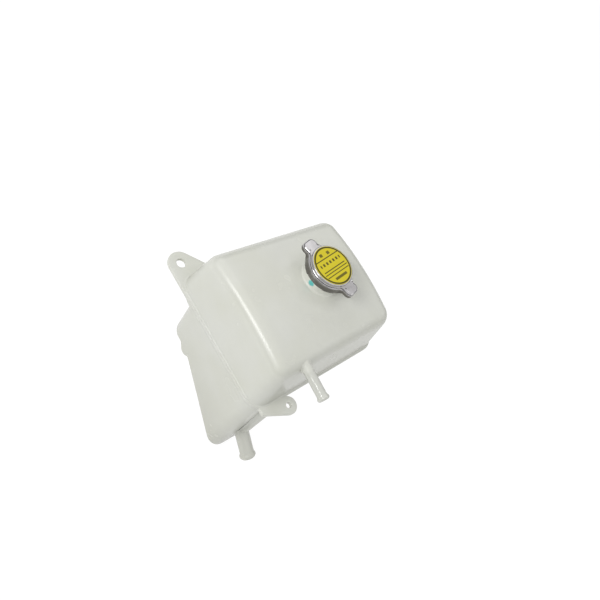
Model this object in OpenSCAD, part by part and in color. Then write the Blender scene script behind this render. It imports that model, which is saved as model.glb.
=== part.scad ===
// Coolant expansion tank: two moulded half shells welded at a flange, with a sprung pressure cap.
// Millimetres. The origin is the centre of the upper fixing hole, on the underside of its lug.
// +Z runs up along the filler neck. +X runs along the tank towards its two hose spigots.

/* [Upper shell] */
// Length of the deck along X, on its far side
deck_l = 120.5; // [100:0.5:140]
// Width of the deck along Y
deck_w = 151; // [130:0.5:170]
// Height of the middle of the deck above the fixing plane
deck_z = 61.5; // [45:0.5:80]
// How much longer the near side of the tank is than its far side
taper = 3.5; // [0:0.5:6]
// Fall of the deck from its middle line to its two ends
crown = 6.4; // [2:0.2:9]
// How far the near, far and left walls lean out down to the flange
flare = 5.5; // [2:0.5:8]
// How far the spigot wall leans out down to the flange
flare_end = 6.6; // [2:0.2:9]
// Wall thickness of both shells
wall = 2.5; // [1.8:0.1:3.2]
// Radius of the upright corners at the deck
corner_r = 12; // [8:0.5:16]
// Radius of the upright corners at the flange
corner_r_low = 15; // [10:0.5:20]
// Radius of the edge round the deck
edge_r = 12; // [7:0.5:15]

/* [Flange and lugs] */
// How far the weld flange stands out from the walls
flange_w = 2.2; // [1:0.1:4]
// Thickness of each half of the weld flange
flange_t = 2; // [1.2:0.1:3]
// Distance along X from the upper fixing hole to the left end of the deck
lug_reach = 20.3; // [17:0.1:26]
// Distance along Y from the upper fixing hole back to the near edge of the deck
lug_back = 4.4; // [2:0.1:8]
// Radius of the upper lug's round end
lug_r = 12.4; // [9:0.1:15]
// Radius of the upper fixing hole
lug_hole_r = 4.6; // [3:0.1:6]
// Width of the upper lug where it joins the flange
lug_root = 42; // [30:1:50]
// Place along Y of the lower lug's hole, from the near edge of the deck
ear_y = 28; // [20:0.5:45]
// How far the lower lug's hole stands out from the flange
ear_out = 7.5; // [5:0.5:12]
// Radius of the lower lug's round end
ear_r = 8.6; // [6:0.1:11]
// How far the lower lug stands out from the flange at its near end
ear_root_out = 4.5; // [2:0.5:8]
// Length of the lower lug's straight root along Y, from the near edge of the deck
ear_root_l = 16.8; // [8:0.2:19]
// Radius of the lower fixing hole
ear_hole_r = 2.6; // [1.6:0.1:3.5]

/* [Lower shell] */
// Depth of the shallow floor below the flange
pan_d = 7; // [7:0.5:18]
// How far the shallow floor's walls lean in
pan_draft = 4; // [1:0.5:5]
// Radius of the edge round the shallow floor
pan_r = 4.5; // [3:0.5:4.5]
// Fall of the shallow floor towards the sump
pan_fall = 2; // [1:0.5:5]
// Distance along X from the left end of the deck to the sump
sump_x = 12.5; // [8:0.5:20]
// How far the sump's spigot end stands out past the deck
sump_out = 15; // [12:0.5:20]
// Width of the sump along Y
sump_w = 57; // [50:1:70]
// Draft of each sump wall over its depth
sump_draft = 1; // [0.5:0.5:4]
// Depth of the sump below the flange at its left end
sump_d = 64; // [40:0.5:75]
// Distance from the sump's left end to where its floor starts to slope
slope_x = 31; // [20:1:50]
// Slope of the sump floor, in degrees
sump_slope = 32.7; // [20:0.1:36]
// Radius of the sump's upright corners
sump_corner_r = 14; // [8:0.5:20]
// Radius of the sump's lower edge
sump_edge_r = 9; // [4:0.5:12]
// Height of the foot that stands off the sump floor
foot_h = 7.5; // [3:0.5:12]
// Length of the foot along X
foot_l = 14; // [10:0.5:24]
// Distance from the sump's left end to the middle of the foot
foot_x = 28.5; // [24:0.5:45]
// How far the rib on the sump's end stands out at the outlet
rib_out = 4.5; // [3:0.5:9]
// Thickness of the rib
rib_t = 3; // [1.5:0.5:5]

/* [Hose spigots] */
// Outside diameter of the outlet spigot
outlet_d = 14.6; // [12:0.2:18]
// Bore of the outlet spigot
outlet_bore_d = 10.6; // [6:0.2:11.2]
// Diameter over the bead at the outlet's mouth
outlet_bead_d = 17; // [15.6:0.2:21]
// Length of the outlet spigot outside the sump
outlet_l = 30; // [20:1:40]
// Slope of the outlet spigot, in degrees
outlet_slope = 30.5; // [15:0.5:36]
// Height of the outlet's axis above the sump floor where it leaves the end wall
outlet_up = 33; // [20:0.5:40]
// Outside diameter of the return spigot
return_d = 9.4; // [7:0.2:10.4]
// Bore of the return spigot
return_bore_d = 5.4; // [3:0.2:6.4]
// Diameter over the bead at the return's mouth
return_bead_d = 11.2; // [10:0.2:14]
// Length of the return spigot outside the wall
return_l = 29; // [18:1:40]
// Place along Y of the return spigot, from the near edge of the deck
return_y = 33; // [24:0.5:60]
// Depth of the return spigot's axis below the deck's middle
return_drop = 12.5; // [12:0.5:40]
// Slope of the return spigot, in degrees
return_slope = 4; // [0:0.5:10]

/* [Filler neck] */
// Place of the neck along X, from the left end of the deck
neck_x = 57; // [45:0.5:75]
// Place of the neck along Y, from the near edge of the deck
neck_y = 89.7; // [60:0.1:105]
// Outside radius of the neck
neck_r = 18.5; // [18:0.1:19.5]
// Radius of the neck's bore above the valve seat
neck_bore_r = 14.6; // [14:0.1:15.5]
// Radius of the throat through the valve seat
throat_r = 11; // [9.6:0.1:12]
// Height of the neck's rim above the deck
rim_h = 18.9; // [16:0.1:24]
// Depth of the valve seat below the rim
seat_depth = 10.9; // [10.4:0.1:12]
// Thickness of the valve seat
seat_t = 2.5; // [1.5:0.1:4]
// How far the fillet at the neck's foot stands out
neck_foot = 5; // [2:0.5:8]
// Outside radius of the cam that the cap's claws hook under
cam_r = 21; // [20:0.1:21.2]
// Angle that each cam spans
cam_span = 118; // [100:1:130]
// Rise of the cam's underside from its closed end to its open end
cam_rise = 0.9; // [0.2:0.1:1.4]
// Thickness of the cam at its thick end
cam_t = 3; // [2:0.1:4]
// Depth of the cam's top below the rim
cam_drop = 3.8; // [2:0.1:5]

/* [Cap] */
// Outside radius of the cap's skirt
cap_r = 22.3; // [22.1:0.1:25]
// Sheet thickness of the cap
cap_t = 0.8; // [0.6:0.05:0.9]
// Radius of the cap's raised top
top_r = 20.8; // [19.8:0.1:21]
// Height of the raised top above the shoulder
top_h = 2.1; // [1.5:0.1:2.6]
// Gap between the neck's rim and the underside of the cap's top
rim_gap = 2; // [1.6:0.1:3]
// Distance from the cap's axis to the ends of its grips
grip_reach = 31.8; // [28:0.1:35]
// Width of each grip
grip_w = 16; // [12:0.5:18]
// Drop of the edge turned down round each grip
grip_drop = 5.5; // [3:0.5:6]
// Radius of each grip's corners
grip_corner_r = 5.5; // [2:0.5:5.5]
// Turn of the grips away from +X when the cap is shut
grip_turn = 15; // [0:1:90]
// Angle that each claw spans
claw_span = 46; // [30:1:52]
// Clearance between the claws and the cam, and between the claws and the neck
claw_gap = 0.3; // [0.2:0.05:0.5]
// Radius of the label
label_r = 19.4; // [15:0.1:19.4]
// Thickness of the label
label_t = 0.3; // [0.1:0.05:0.5]
// Radius of the rivet's shank
rivet_r = 1.8; // [1.2:0.1:2.4]
// Radius of the rivet's heads
rivet_head_r = 3.2; // [2.8:0.1:4.5]
// Thickness of the rivet's upper head, which is let into the cap
rivet_head_t = 0.5; // [0.3:0.05:0.6]
// Thickness of the rivet's lower head
rivet_low_t = 0.7; // [0.5:0.05:1]

/* [Pressure valve] */
// Thickness of the pressed sheets inside the cap
sheet_t = 0.6; // [0.4:0.05:0.7]
// Inside radius of the spring cage
cage_r = 9.6; // [9.2:0.1:10.2]
// Inward lip of the spring cage
cage_lip = 0.6; // [0.5:0.05:0.8]
// Running clearance between the valve's sliding pieces
slide_gap = 0.2; // [0.15:0.05:0.3]
// Radius of the valve plate
plate_r = 12.8; // [12.4:0.1:13]
// Radius of the rubber seal
seal_r = 13; // [12.6:0.1:13.8]
// Thickness of the rubber seal
seal_t = 1.8; // [1.2:0.1:2.2]
// Travel of the pressure valve
valve_lift = 3; // [2:0.1:3.2]
// Wire diameter of the pressure spring
spring_wire = 1.1; // [0.8:0.1:1.1]
// Turns of the pressure spring
spring_turns = 4; // [3:0.5:4]
// Radius of the posts that hold the seal to the plate
post_r = 0.9; // [0.6:0.1:1.1]
// Distance from the valve's axis to each post
post_ring = 7.6; // [7.4:0.1:8]
// Radius of the vacuum valve's head
poppet_r = 5.2; // [4.8:0.1:5.4]
// Thickness of the vacuum valve's head
poppet_t = 0.8; // [0.6:0.05:1.2]
// Width of the ring where the vacuum valve's head meets the seal
seal_land = 1.3; // [0.8:0.1:1.6]
// Clearance between the seal's retainer and the vacuum valve's head
poppet_gap = 0.4; // [0.3:0.05:0.7]
// Clearance between the seal's retainer and the throat
throat_gap = 0.8; // [0.5:0.1:1]
// Radius of the vacuum valve's stem
stem_r = 1.2; // [0.8:0.1:1.6]
// Room round the stem in the valve plate
stem_room = 1.4; // [1:0.1:1.6]
// Travel of the vacuum valve
poppet_drop = 1.6; // [0.8:0.1:1.8]
// Wire diameter of the vacuum spring
vac_wire = 0.4; // [0.3:0.05:0.5]
// Turns of the vacuum spring
vac_turns = 4; // [3:0.5:4]

/* [Hidden] */
$fn = 64;

// Colours of the natural plastic, metals and rubber
PLASTIC = [0.86, 0.88, 0.84];
STEEL = [0.72, 0.73, 0.74];
BRASS = [0.80, 0.68, 0.38];
RUBBER = [0.12, 0.12, 0.12];
YELLOW = [0.88, 0.80, 0.12];

// How far a cutting tool runs past the face that it cuts
past = 1;
// How far two fused pieces reach into each other
bite = 0.8;

// Places in the deck's own frame: its near left corner, with the middle of the deck at height 0
weld_z = flange_t;
lug_t = 2 * flange_t;
floor_top = deck_z - weld_z;
deck_mid = [lug_reach, -lug_back, deck_z];
module at_deck() {
    translate(deck_mid) children();
}
module at_plan() {
    translate([deck_mid[0], deck_mid[1], 0]) children();
}
module at_neck() {
    at_deck() translate([neck_x, neck_y, 0]) children();
}

// Points on each round corner, along each long side, round an edge and across a flat face
corner_n = 5;
deck_n = 8;
floor_n = 22;
edge_steps = 5;
flat_steps = 3;
// Half the width of the slit that the last ring of a loft leaves, and the least corner radius
slit = 2;
least_r = 1;

// A closed solid through a stack of rings, from the lowest to the highest.
// Each end is closed by a ladder of triangles between its near half and its far half,
// so that an end that isn't flat keeps its profile.
function ladder(n) = [for (k = [0:n / 2 - 2]) let (
    a = (corner_n - k + n) % n, a_next = (corner_n - k - 1 + n) % n,
    b = (corner_n + 1 + k) % n, b_next = (corner_n + 2 + k) % n) each [[a_next, a, b], [a_next, b, b_next]]];
module loft(rings) {
    n = len(rings[0]);
    m = len(rings);
    top = (m - 1) * n;
    walls = [for (k = [0:m - 2]) for (i = [0:n - 1])
        let (a = k * n + i, b = a + n, c = (k + 1) * n + (i + 1) % n, d = c - n) each [[a, b, c], [a, c, d]]];
    high_end = [for (t = ladder(n)) [top + t[2], top + t[1], top + t[0]]];
    polyhedron(points = [for (r = rings) for (p = r) p], faces = concat(ladder(n), walls, high_end), convexity = 4);
}
function backwards(rings) = [for (k = [len(rings) - 1:-1:0]) rings[k]];

// Plan of a rounded four-sided ring, anticlockwise from its near right corner.
// near and far are the two ends along X of its near and far sides.
function arc(cx, cy, r, a0) =
    [for (i = [0:corner_n]) let (a = a0 + 90 * i / corner_n) [cx + r * cos(a), cy + r * sin(a)]];
function side(xa, xb, y, n) = [for (i = [1:n - 1]) [xa + (xb - xa) * i / n, y]];
function ring_plan(near, far, y0, y1, r, n) = concat(
    arc(near[1] - r, y0 + r, r, -90), arc(far[1] - r, y1 - r, r, 0), side(far[1] - r, far[0] + r, y1, n),
    arc(far[0] + r, y1 - r, r, 90), arc(near[0] + r, y0 + r, r, 180), side(near[0] + r, near[1] - r, y0, n));

// Extra length of the tank at a distance along Y
function stretch(y) = 1 + taper / deck_l * (1 - y / deck_w);
function tapered(p) = [p[0] * stretch(p[1]), p[1], p[2]];
function at_height(plan, z) = [for (p = plan) tapered([p[0], p[1], z])];
// Fall of the deck at a distance along X
function crown_fall(x) = crown * pow((x - deck_l / 2) / (deck_l / 2), 2);

// Plan of the walls, leaning out from the deck (0) to the flange (1), drawn in by an inset
function box_plan(lean, inset, n = deck_n) =
    let (ends = [-flare * lean + inset, deck_l + flare_end * lean - inset])
    ring_plan(ends, ends, -flare * lean + inset, deck_w + flare * lean - inset,
              max(corner_r + (corner_r_low - corner_r) * lean - inset, least_r), n);
function deck_ring(skin, inset, lift) =
    [for (p = box_plan(0, inset)) tapered([p[0], p[1], lift - skin - crown_fall(p[0])])];

// The rings of one skin of the upper shell, from its wall at the flange up to the middle of the deck
function box_rings(skin, z_low) = let (r = edge_r - skin, last = deck_l / 2 - slit) concat(
    [at_height(box_plan(1, skin), z_low)],
    [for (k = [0:edge_steps]) let (turn = 90 * k / edge_steps) deck_ring(skin, skin + r * (1 - cos(turn)), r * (sin(turn) - 1))],
    [for (k = [1:flat_steps]) deck_ring(skin, edge_r + (last - edge_r) * k / (flat_steps + 1), 0)],
    [at_height(box_plan(0, last), -skin)]);

// The hollow box with its weld flange, as one skin that runs from inside the deck round to its outside
module box_shell() {
    low = -floor_top;
    rim = box_plan(1, -flange_w);
    loft(concat(backwards(box_rings(wall, low)), [at_height(rim, low), at_height(rim, low + flange_t)],
                box_rings(0, low + flange_t)));
}

// A hose spigot along +Z with a bead at its mouth, rooted at -back. The bead's slopes are as long as it is
// wider than the tube, and its crest is a share of that.
bead_chamfer = 0.3;
bead_crest = 0.4;
module spigot(d, bead_d, length, back) {
    slope_l = bead_d - d;
    crest_z = length - slope_l - bead_crest * slope_l;
    rotate_extrude() polygon([
        [0, -back], [d / 2, -back], [d / 2, crest_z - slope_l], [bead_d / 2, crest_z],
        [bead_d / 2, length - slope_l], [d / 2 - bead_chamfer, length], [0, length]]);
}

// The return spigot's root on the end wall, with a boss behind it that fills the deck's round edge there
return_back = edge_r / 2 + wall;
return_root_x = deck_l * stretch(return_y) + flare_end * return_drop / floor_top;
module at_return() {
    at_deck() translate([return_root_x, return_y, -return_drop]) rotate([0, 90 + return_slope, 0]) children();
}

// A tall wedge of the given angle, centred on +X
wedge_h = 60;
module wedge(angle) {
    reach = 3 * cap_r;
    translate([0, 0, -past]) linear_extrude(wedge_h)
        polygon(concat([[0, 0]], [for (k = [-3:3]) let (a = angle / 2 * k / 3) [reach * cos(a), reach * sin(a)]]));
}

// A cam that a claw hooks under, centred on -Y, with a ramped underside and a stop past the shut claw
seat_z = rim_h - seat_depth;
claw_top = rim_h - cam_drop - cam_t - claw_gap;
claw_z = claw_top - cap_t;
stop_span = 5;
module cam_ring(z, h) {
    translate([0, 0, z]) difference() {
        cylinder(r = cam_r, h = h);
        translate([0, 0, -past]) cylinder(r = neck_r - past, h = h + 2 * past);
    }
}
module cam() {
    low = claw_top + claw_gap;
    tilt = atan(cam_rise / (2 * cam_r * sin(cam_span / 2)));
    intersection() {
        cam_ring(low, cam_t);
        rotate(-90) wedge(cam_span);
        translate([0, 0, low + cam_rise / 2]) rotate([0, -tilt, 0]) translate([-2 * cam_r, -2 * cam_r, 0])
            cube([4 * cam_r, 4 * cam_r, 2 * cam_t]);
    }
    intersection() {
        cam_ring(claw_z, low + cam_rise + bite - claw_z);
        rotate(-90 - claw_span / 2 - stop_span / 2 - 1) wedge(stop_span);
    }
}

module neck_solid() {
    root = wall + past;
    neck_foot_h = neck_foot / 2;
    translate([0, 0, -root]) cylinder(r = neck_r, h = rim_h + root);
    translate([0, 0, -root]) cylinder(r1 = neck_r + neck_foot, r2 = neck_r, h = root + neck_foot_h);
    for (turn = [0, 180]) rotate(grip_turn + turn) cam();
}
module upper_shell() {
    deep = wall + 3 * past;
    color(PLASTIC) difference() {
        union() {
            at_deck() box_shell();
            at_neck() neck_solid();
            at_return() spigot(return_d, return_bead_d, return_l, return_back);
        }
        at_neck() translate([0, 0, -deep]) cylinder(r = throat_r, h = rim_h + deep + past);
        at_neck() translate([0, 0, -deep]) cylinder(r = neck_bore_r, h = seat_z - seat_t + deep);
        at_neck() translate([0, 0, seat_z]) cylinder(r = neck_bore_r, h = seat_depth + past);
        at_return() translate([0, 0, -return_back - past])
            cylinder(d = return_bore_d, h = return_l + return_back + 2 * past);
    }
}

// Height of the sump's floor in the deck's frame at a distance along X, with the foot standing off it
foot_mid = sump_x + foot_x;
// The foot's shoulder and toe, as shares of its length and height
foot_shoulder = [0.28, 0.85];
foot_toe = 0.62;
function foot(x) = lookup(abs(x - foot_mid),
    [[0, foot_h], [foot_l * foot_shoulder[0], foot_h * foot_shoulder[1]], [foot_l * foot_toe, 0]]);
function sump_floor(x) = -floor_top - sump_d - max(x - sump_x - slope_x, 0) * tan(sump_slope) - foot(x);

// The shallow floor's rings: its near side and near right corner run straight down into the sump
function pan_ring(skin, inset, z) = let (
    left = -flare + skin + inset, right = deck_l + flare_end - skin)
    at_height(ring_plan([left, right], [left, right - inset], -flare + skin, deck_w + flare - skin - inset,
                        max(corner_r_low - inset, sump_corner_r) - skin, floor_n), z);

// The sump's mouth in the shallow floor, flush with the end wall
sump_far = -flare + sump_w;
function end_wall_x(y) = (deck_l + flare_end) * stretch(y);
function mouth_ring(skin, z) = [for (p = ring_plan(
    [sump_x + skin, end_wall_x(-flare) - skin], [sump_x + skin, end_wall_x(sump_far) - skin],
    -flare + skin, sump_far - skin, sump_corner_r - skin, floor_n)) [p[0], p[1], z]];
// A ring at the sump's lower end: past its corners, its ends are drawn in less than its sides are,
// so that it closes to a slit along X
end_share = 0.2;
function sump_ring(skin, inset, lift) = let (
    whole = sump_corner_r - least_r, draw = min(inset, whole) + max(inset - whole, 0) * end_share,
    left = sump_x + sump_draft + draw, right = deck_l + sump_out - draw)
    [for (p = ring_plan([left, right], [left, right], -flare + sump_draft + inset, sump_far - sump_draft - inset,
                        max(sump_corner_r - inset, least_r), floor_n))
        [p[0], p[1], sump_floor(p[0]) + skin / cos(sump_slope) + lift]];

// The rings of one skin of the lower shell, from its wall just under the flange down to the sump's floor
function lower_rings(skin, z_top) = let (
    r = pan_r - skin, low = -floor_top - pan_d + skin, edge = sump_edge_r - skin,
    last = sump_w / 2 - sump_draft - slit) concat(
    [pan_ring(skin, 0, z_top)],
    [for (turn = [0:30:90]) pan_ring(skin, r * (1 - cos(turn)) + pan_draft, low + r * (1 - sin(turn)))],
    [mouth_ring(skin, low - pan_fall)],
    [for (k = [0:edge_steps]) let (turn = 90 * k / edge_steps)
        sump_ring(skin, skin + edge * (1 - cos(turn)), edge * (1 - sin(turn)))],
    [for (k = [1:flat_steps]) sump_ring(skin, sump_edge_r + (last - sump_edge_r) * k / flat_steps, 0)]);

// The hollow pan and sump with their weld flange, as one skin from under the floor round to its inside
module pan_shell() {
    high = -floor_top;
    rim = box_plan(1, -flange_w, floor_n);
    loft(concat(backwards(lower_rings(0, high - flange_t)), [at_height(rim, high - flange_t), at_height(rim, high)],
                lower_rings(wall, high)));
}

// Plans of the two lugs, which lie in the plane of the weld flange
ear_x = end_wall_x(0) + flange_w + ear_out;
module upper_lug_plan() {
    near_y = -lug_back - flare - flange_w;
    hull() {
        circle(lug_r);
        translate([lug_reach - flare, near_y]) square([corner_r_low, lug_root]);
    }
}
module lower_lug_plan() {
    hull() {
        translate([ear_x, ear_y]) circle(ear_r);
        translate([ear_x - ear_out - ear_r, 0]) square([ear_r + ear_root_out, ear_root_l]);
    }
}
// What a lug keeps outside the flange, down to a bite into its own half
module outside_flange(out) {
    difference() {
        children();
        at_plan() polygon([for (p = at_height(box_plan(1, -out), 0)) [p[0], p[1]]]);
    }
}
module lugs(out) {
    outside_flange(out) upper_lug_plan();
    outside_flange(out) at_plan() lower_lug_plan();
}

// The sump's end wall, which leans out from its mouth to its floor, and the outlet's root on it
end_low_x = deck_l + sump_out;
outlet_y = -flare + sump_w / 2;
outlet_z = sump_floor(end_low_x) + outlet_up;
end_lean = atan((end_low_x - end_wall_x(outlet_y)) / (-sump_floor(end_low_x) - floor_top - pan_d - sump_edge_r));
module at_outlet() {
    at_deck() translate([end_low_x, outlet_y, outlet_z]) rotate([0, 90 + outlet_slope, 0]) children();
}
// Everything on the tank's side of a plane through the middle of the end wall
module behind_end_wall() {
    reach = 4 * outlet_d;
    at_deck() translate([end_low_x - wall / 2, outlet_y, outlet_z]) rotate([0, end_lean, 0])
        translate([-reach, -reach / 2, -reach / 2]) cube(reach);
}
module outlet_tube() {
    difference() {
        at_outlet() spigot(outlet_d, outlet_bead_d, outlet_l, outlet_d);
        behind_end_wall();
    }
}

// Rib from the lower lug down the sump's end to the outlet
module rib() {
    top_x = end_wall_x(outlet_y);
    at_deck() translate([0, outlet_y + rib_t / 2, 0]) rotate([90, 0, 0]) linear_extrude(rib_t)
        polygon([[top_x - bite, -floor_top - flange_t], [top_x + flange_w + ear_root_out, -floor_top - flange_t],
                 [end_low_x + rib_out, outlet_z + outlet_d / 2], [end_low_x + rib_out / 2, outlet_z],
                 [end_low_x - bite, outlet_z]]);
}

module lower_shell() {
    color(PLASTIC) difference() {
        union() {
            at_deck() pan_shell();
            linear_extrude(flange_t) lugs(flange_w - bite);
            translate([0, 0, flange_t]) linear_extrude(lug_t - flange_t) lugs(flange_w);
            outlet_tube();
            rib();
        }
        translate([0, 0, -past]) cylinder(r = lug_hole_r, h = lug_t + 2 * past);
        at_plan() translate([ear_x, ear_y, -past]) cylinder(r = ear_hole_r, h = lug_t + 2 * past);
        at_outlet() translate([0, 0, -outlet_d]) cylinder(d = outlet_bore_d, h = outlet_l + outlet_d + past);
    }
}

// Heights in the cap, from its top down
cap_under = rim_h + rim_gap;
cap_top = cap_under + cap_t;
shoulder_z = cap_top - top_h;
disc_z = cap_under - sheet_t;
cage_top = disc_z - sheet_t;
shoulder_r = 1.2;
top_edge_r = 1;

// Half outline of the cap's outer or inner face, from the axis out and down to the skirt's lower edge
module cap_section(t, z_low) {
    polygon([[0, z_low], [cap_r - t, z_low],
             for (a = [0:15:90]) [cap_r - t - shoulder_r * (1 - cos(a)), shoulder_z - t - shoulder_r * (1 - sin(a))],
             for (a = [0:15:90]) [top_r - t - top_edge_r * (1 - cos(a)), cap_top - t - top_edge_r * (1 - sin(a))],
             [0, cap_top - t]]);
}
module grip_plan(inset) {
    r = grip_corner_r - inset;
    hull() for (s = [-1, 1], e = [-1, 1])
        translate([e * (grip_reach - inset - r), s * (grip_w / 2 - inset - r)]) circle(r, $fn = 32);
}
module claw_ring() {
    translate([0, 0, claw_z]) difference() {
        cylinder(r = cap_r - cap_t / 2, h = cap_t);
        translate([0, 0, -past]) cylinder(r = neck_r + claw_gap, h = cap_t + 2 * past);
    }
}
module cap_shell() {
    color(STEEL) at_neck() rotate(grip_turn) difference() {
        union() {
            difference() {
                union() {
                    rotate_extrude() cap_section(0, claw_z);
                    translate([0, 0, shoulder_z - grip_drop]) linear_extrude(grip_drop) grip_plan(0);
                }
                rotate_extrude() cap_section(cap_t, claw_z - past);
                translate([0, 0, claw_z - past]) linear_extrude(shoulder_z - cap_t - claw_z + past) grip_plan(cap_t);
            }
            for (a = [90, 270]) intersection() {
                claw_ring();
                rotate(a) wedge(claw_span);
            }
        }
        translate([0, 0, cap_under - past]) cylinder(r = rivet_r, h = cap_t + 2 * past);
        translate([0, 0, cap_top - rivet_head_t]) cylinder(r = rivet_head_r, h = past);
    }
}
module cap_rivet() {
    color(STEEL) at_neck() {
        translate([0, 0, cage_top - rivet_low_t]) cylinder(r = rivet_head_r, h = rivet_low_t);
        translate([0, 0, cage_top - rivet_low_t]) cylinder(r = rivet_r, h = cap_top - cage_top + rivet_low_t - rivet_head_t);
        translate([0, 0, cap_top - rivet_head_t]) cylinder(r = rivet_head_r, h = rivet_head_t);
    }
}
module cap_label() {
    color(YELLOW) at_neck() translate([0, 0, cap_top]) cylinder(r = label_r, h = label_t, $fn = 96);
}

// A dished spring disc that rests on the neck's rim
disc_flat_r = 11;
disc_rim_in = 16;
module friction_disc() {
    rim_z = rim_h + slide_gap / 10;
    disc_r = neck_r - slide_gap;
    color(STEEL) at_neck() rotate_extrude() polygon([
        [rivet_r, disc_z], [disc_flat_r, disc_z], [disc_rim_in, rim_z], [disc_r, rim_z], [disc_r, rim_z + sheet_t],
        [disc_rim_in + slide_gap, rim_z + sheet_t], [disc_flat_r + slide_gap, cap_under], [rivet_r, cap_under]]);
}

// The cage is an upside-down cup. Its lip traps the sleeve of the valve plate and stops the plate's lift.
plate_z = seat_z + seal_t;
plate_top = plate_z + cap_t;
cage_low = plate_top + valve_lift + slide_gap;
sleeve_r = cage_r - cage_lip - slide_gap;
sleeve_top = cage_low + 2 * sheet_t + slide_gap;
module spring_cage() {
    color(STEEL) at_neck() rotate_extrude() polygon([
        [rivet_r, cage_top], [cage_r, cage_top], [cage_r, cage_low + sheet_t], [cage_r - cage_lip, cage_low + sheet_t],
        [cage_r - cage_lip, cage_low], [cage_r + sheet_t, cage_low], [cage_r + sheet_t, disc_z], [rivet_r, disc_z]]);
}

// A helical spring of round wire along +Z
module coil(r, wire, z0, z1, turns, per_turn, sides) {
    pitch = (z1 - z0 - wire) / turns;
    slant = atan(pitch / (2 * PI * r));
    rings = [for (i = [0:round(turns * per_turn)]) let (a = 360 * i / per_turn)
        [for (j = [0:sides - 1]) let (b = 360 * j / sides, u = wire / 2 * cos(b), v = wire / 2 * sin(b))
            [(r + u) * cos(a) + v * sin(slant) * sin(a), (r + u) * sin(a) - v * sin(slant) * cos(a),
             z0 + wire / 2 + pitch * i / per_turn + v * cos(slant)]]];
    loft(backwards(rings));
}
module pressure_spring() {
    r = sleeve_r - sheet_t - slide_gap - spring_wire / 2;
    color(STEEL) at_neck() coil(r, spring_wire, plate_top, cage_top, spring_turns, 16, 8);
}

stem_hole_r = stem_r + stem_room;
module posts(h) {
    for (a = [0:90:270]) rotate(a) translate([post_ring, 0, 0]) cylinder(r = post_r, h = h, $fn = 24);
}
module valve_plate() {
    lip_r = cage_r - slide_gap;
    color(STEEL) at_neck() difference() {
        rotate_extrude() polygon([
            [stem_hole_r, plate_z], [plate_r, plate_z], [plate_r, plate_top], [sleeve_r, plate_top],
            [sleeve_r, sleeve_top - sheet_t], [lip_r, sleeve_top - sheet_t], [lip_r, sleeve_top],
            [sleeve_r - sheet_t, sleeve_top], [sleeve_r - sheet_t, plate_top], [stem_hole_r, plate_top]]);
        translate([0, 0, plate_z - past]) posts(cap_t + 2 * past);
    }
}
module valve_seal() {
    color(RUBBER) at_neck() translate([0, 0, seat_z]) difference() {
        cylinder(r = seal_r, h = seal_t);
        translate([0, 0, -past]) cylinder(r = poppet_r - seal_land, h = seal_t + 2 * past);
        translate([0, 0, -past]) posts(seal_t + 2 * past);
    }
}
module seal_retainer() {
    color(STEEL) at_neck() translate([0, 0, seat_z - sheet_t]) {
        difference() {
            cylinder(r = throat_r - throat_gap, h = sheet_t);
            translate([0, 0, -past]) cylinder(r = poppet_r + poppet_gap, h = sheet_t + 2 * past);
        }
        posts(sheet_t + seal_t + cap_t);
    }
}

// The vacuum valve hangs from its clip on a light spring that lets it drop
vac_r = stem_hole_r + slide_gap + vac_wire / 2;
clip_r = vac_r + vac_wire / 2;
clip_z = plate_top + (vac_turns + 1) * vac_wire + poppet_drop;
module vacuum_valve() {
    color(BRASS) at_neck() translate([0, 0, seat_z - poppet_t]) {
        cylinder(r = poppet_r, h = poppet_t);
        cylinder(r = stem_r, h = clip_z + sheet_t - seat_z + poppet_t);
    }
}
module vacuum_clip() {
    color(STEEL) at_neck() translate([0, 0, clip_z]) difference() {
        cylinder(r = clip_r, h = sheet_t);
        translate([0, 0, -past]) cylinder(r = stem_r, h = sheet_t + 2 * past);
    }
}
module vacuum_spring() {
    color(STEEL) at_neck() coil(vac_r, vac_wire, plate_top, clip_z, vac_turns, 14, 6);
}

upper_shell();
lower_shell();
cap_shell();
cap_label();
cap_rivet();
friction_disc();
spring_cage();
pressure_spring();
valve_plate();
valve_seal();
seal_retainer();
vacuum_valve();
vacuum_spring();
vacuum_clip();
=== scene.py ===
# %% [markdown]
# # A coolant expansion tank
# The tank is moulded from natural polypropylene, which is milky and lets some light through. It is made as
# two halves that are welded at a thin flange. A small pressed steel pressure cap with a yellow label shuts
# its neck. The fixed frame already holds every piece at its real size and place, and this script gives those
# pieces the rounded edges and the finishes that a photograph shows.

import bpy
import numpy as np
from mathutils import Matrix


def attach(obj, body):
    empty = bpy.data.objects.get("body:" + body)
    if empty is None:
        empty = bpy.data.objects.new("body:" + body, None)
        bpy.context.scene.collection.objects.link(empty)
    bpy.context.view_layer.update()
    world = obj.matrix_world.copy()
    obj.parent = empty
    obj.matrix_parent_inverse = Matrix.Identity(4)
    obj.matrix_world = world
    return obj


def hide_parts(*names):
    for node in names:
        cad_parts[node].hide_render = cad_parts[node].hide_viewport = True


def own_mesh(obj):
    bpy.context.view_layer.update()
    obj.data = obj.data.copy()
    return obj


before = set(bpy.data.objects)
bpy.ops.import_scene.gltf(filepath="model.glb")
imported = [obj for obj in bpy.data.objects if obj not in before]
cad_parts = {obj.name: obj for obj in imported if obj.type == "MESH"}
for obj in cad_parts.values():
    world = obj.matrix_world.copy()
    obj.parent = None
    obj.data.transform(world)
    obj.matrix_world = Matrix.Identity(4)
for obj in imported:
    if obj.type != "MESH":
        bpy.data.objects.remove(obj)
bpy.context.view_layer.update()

# %% [markdown]
# ## The camera
# The camera looks down on the tank from its near side, and is rolled so that the tank seems to lean.
# Its place and its three angles were found by fitting the known edges of the deck, the flange and the cap
# to their places in the picture. An azimuth, an elevation and a roll say the same as nine matrix numbers,
# and are easier to read and to change.

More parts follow.
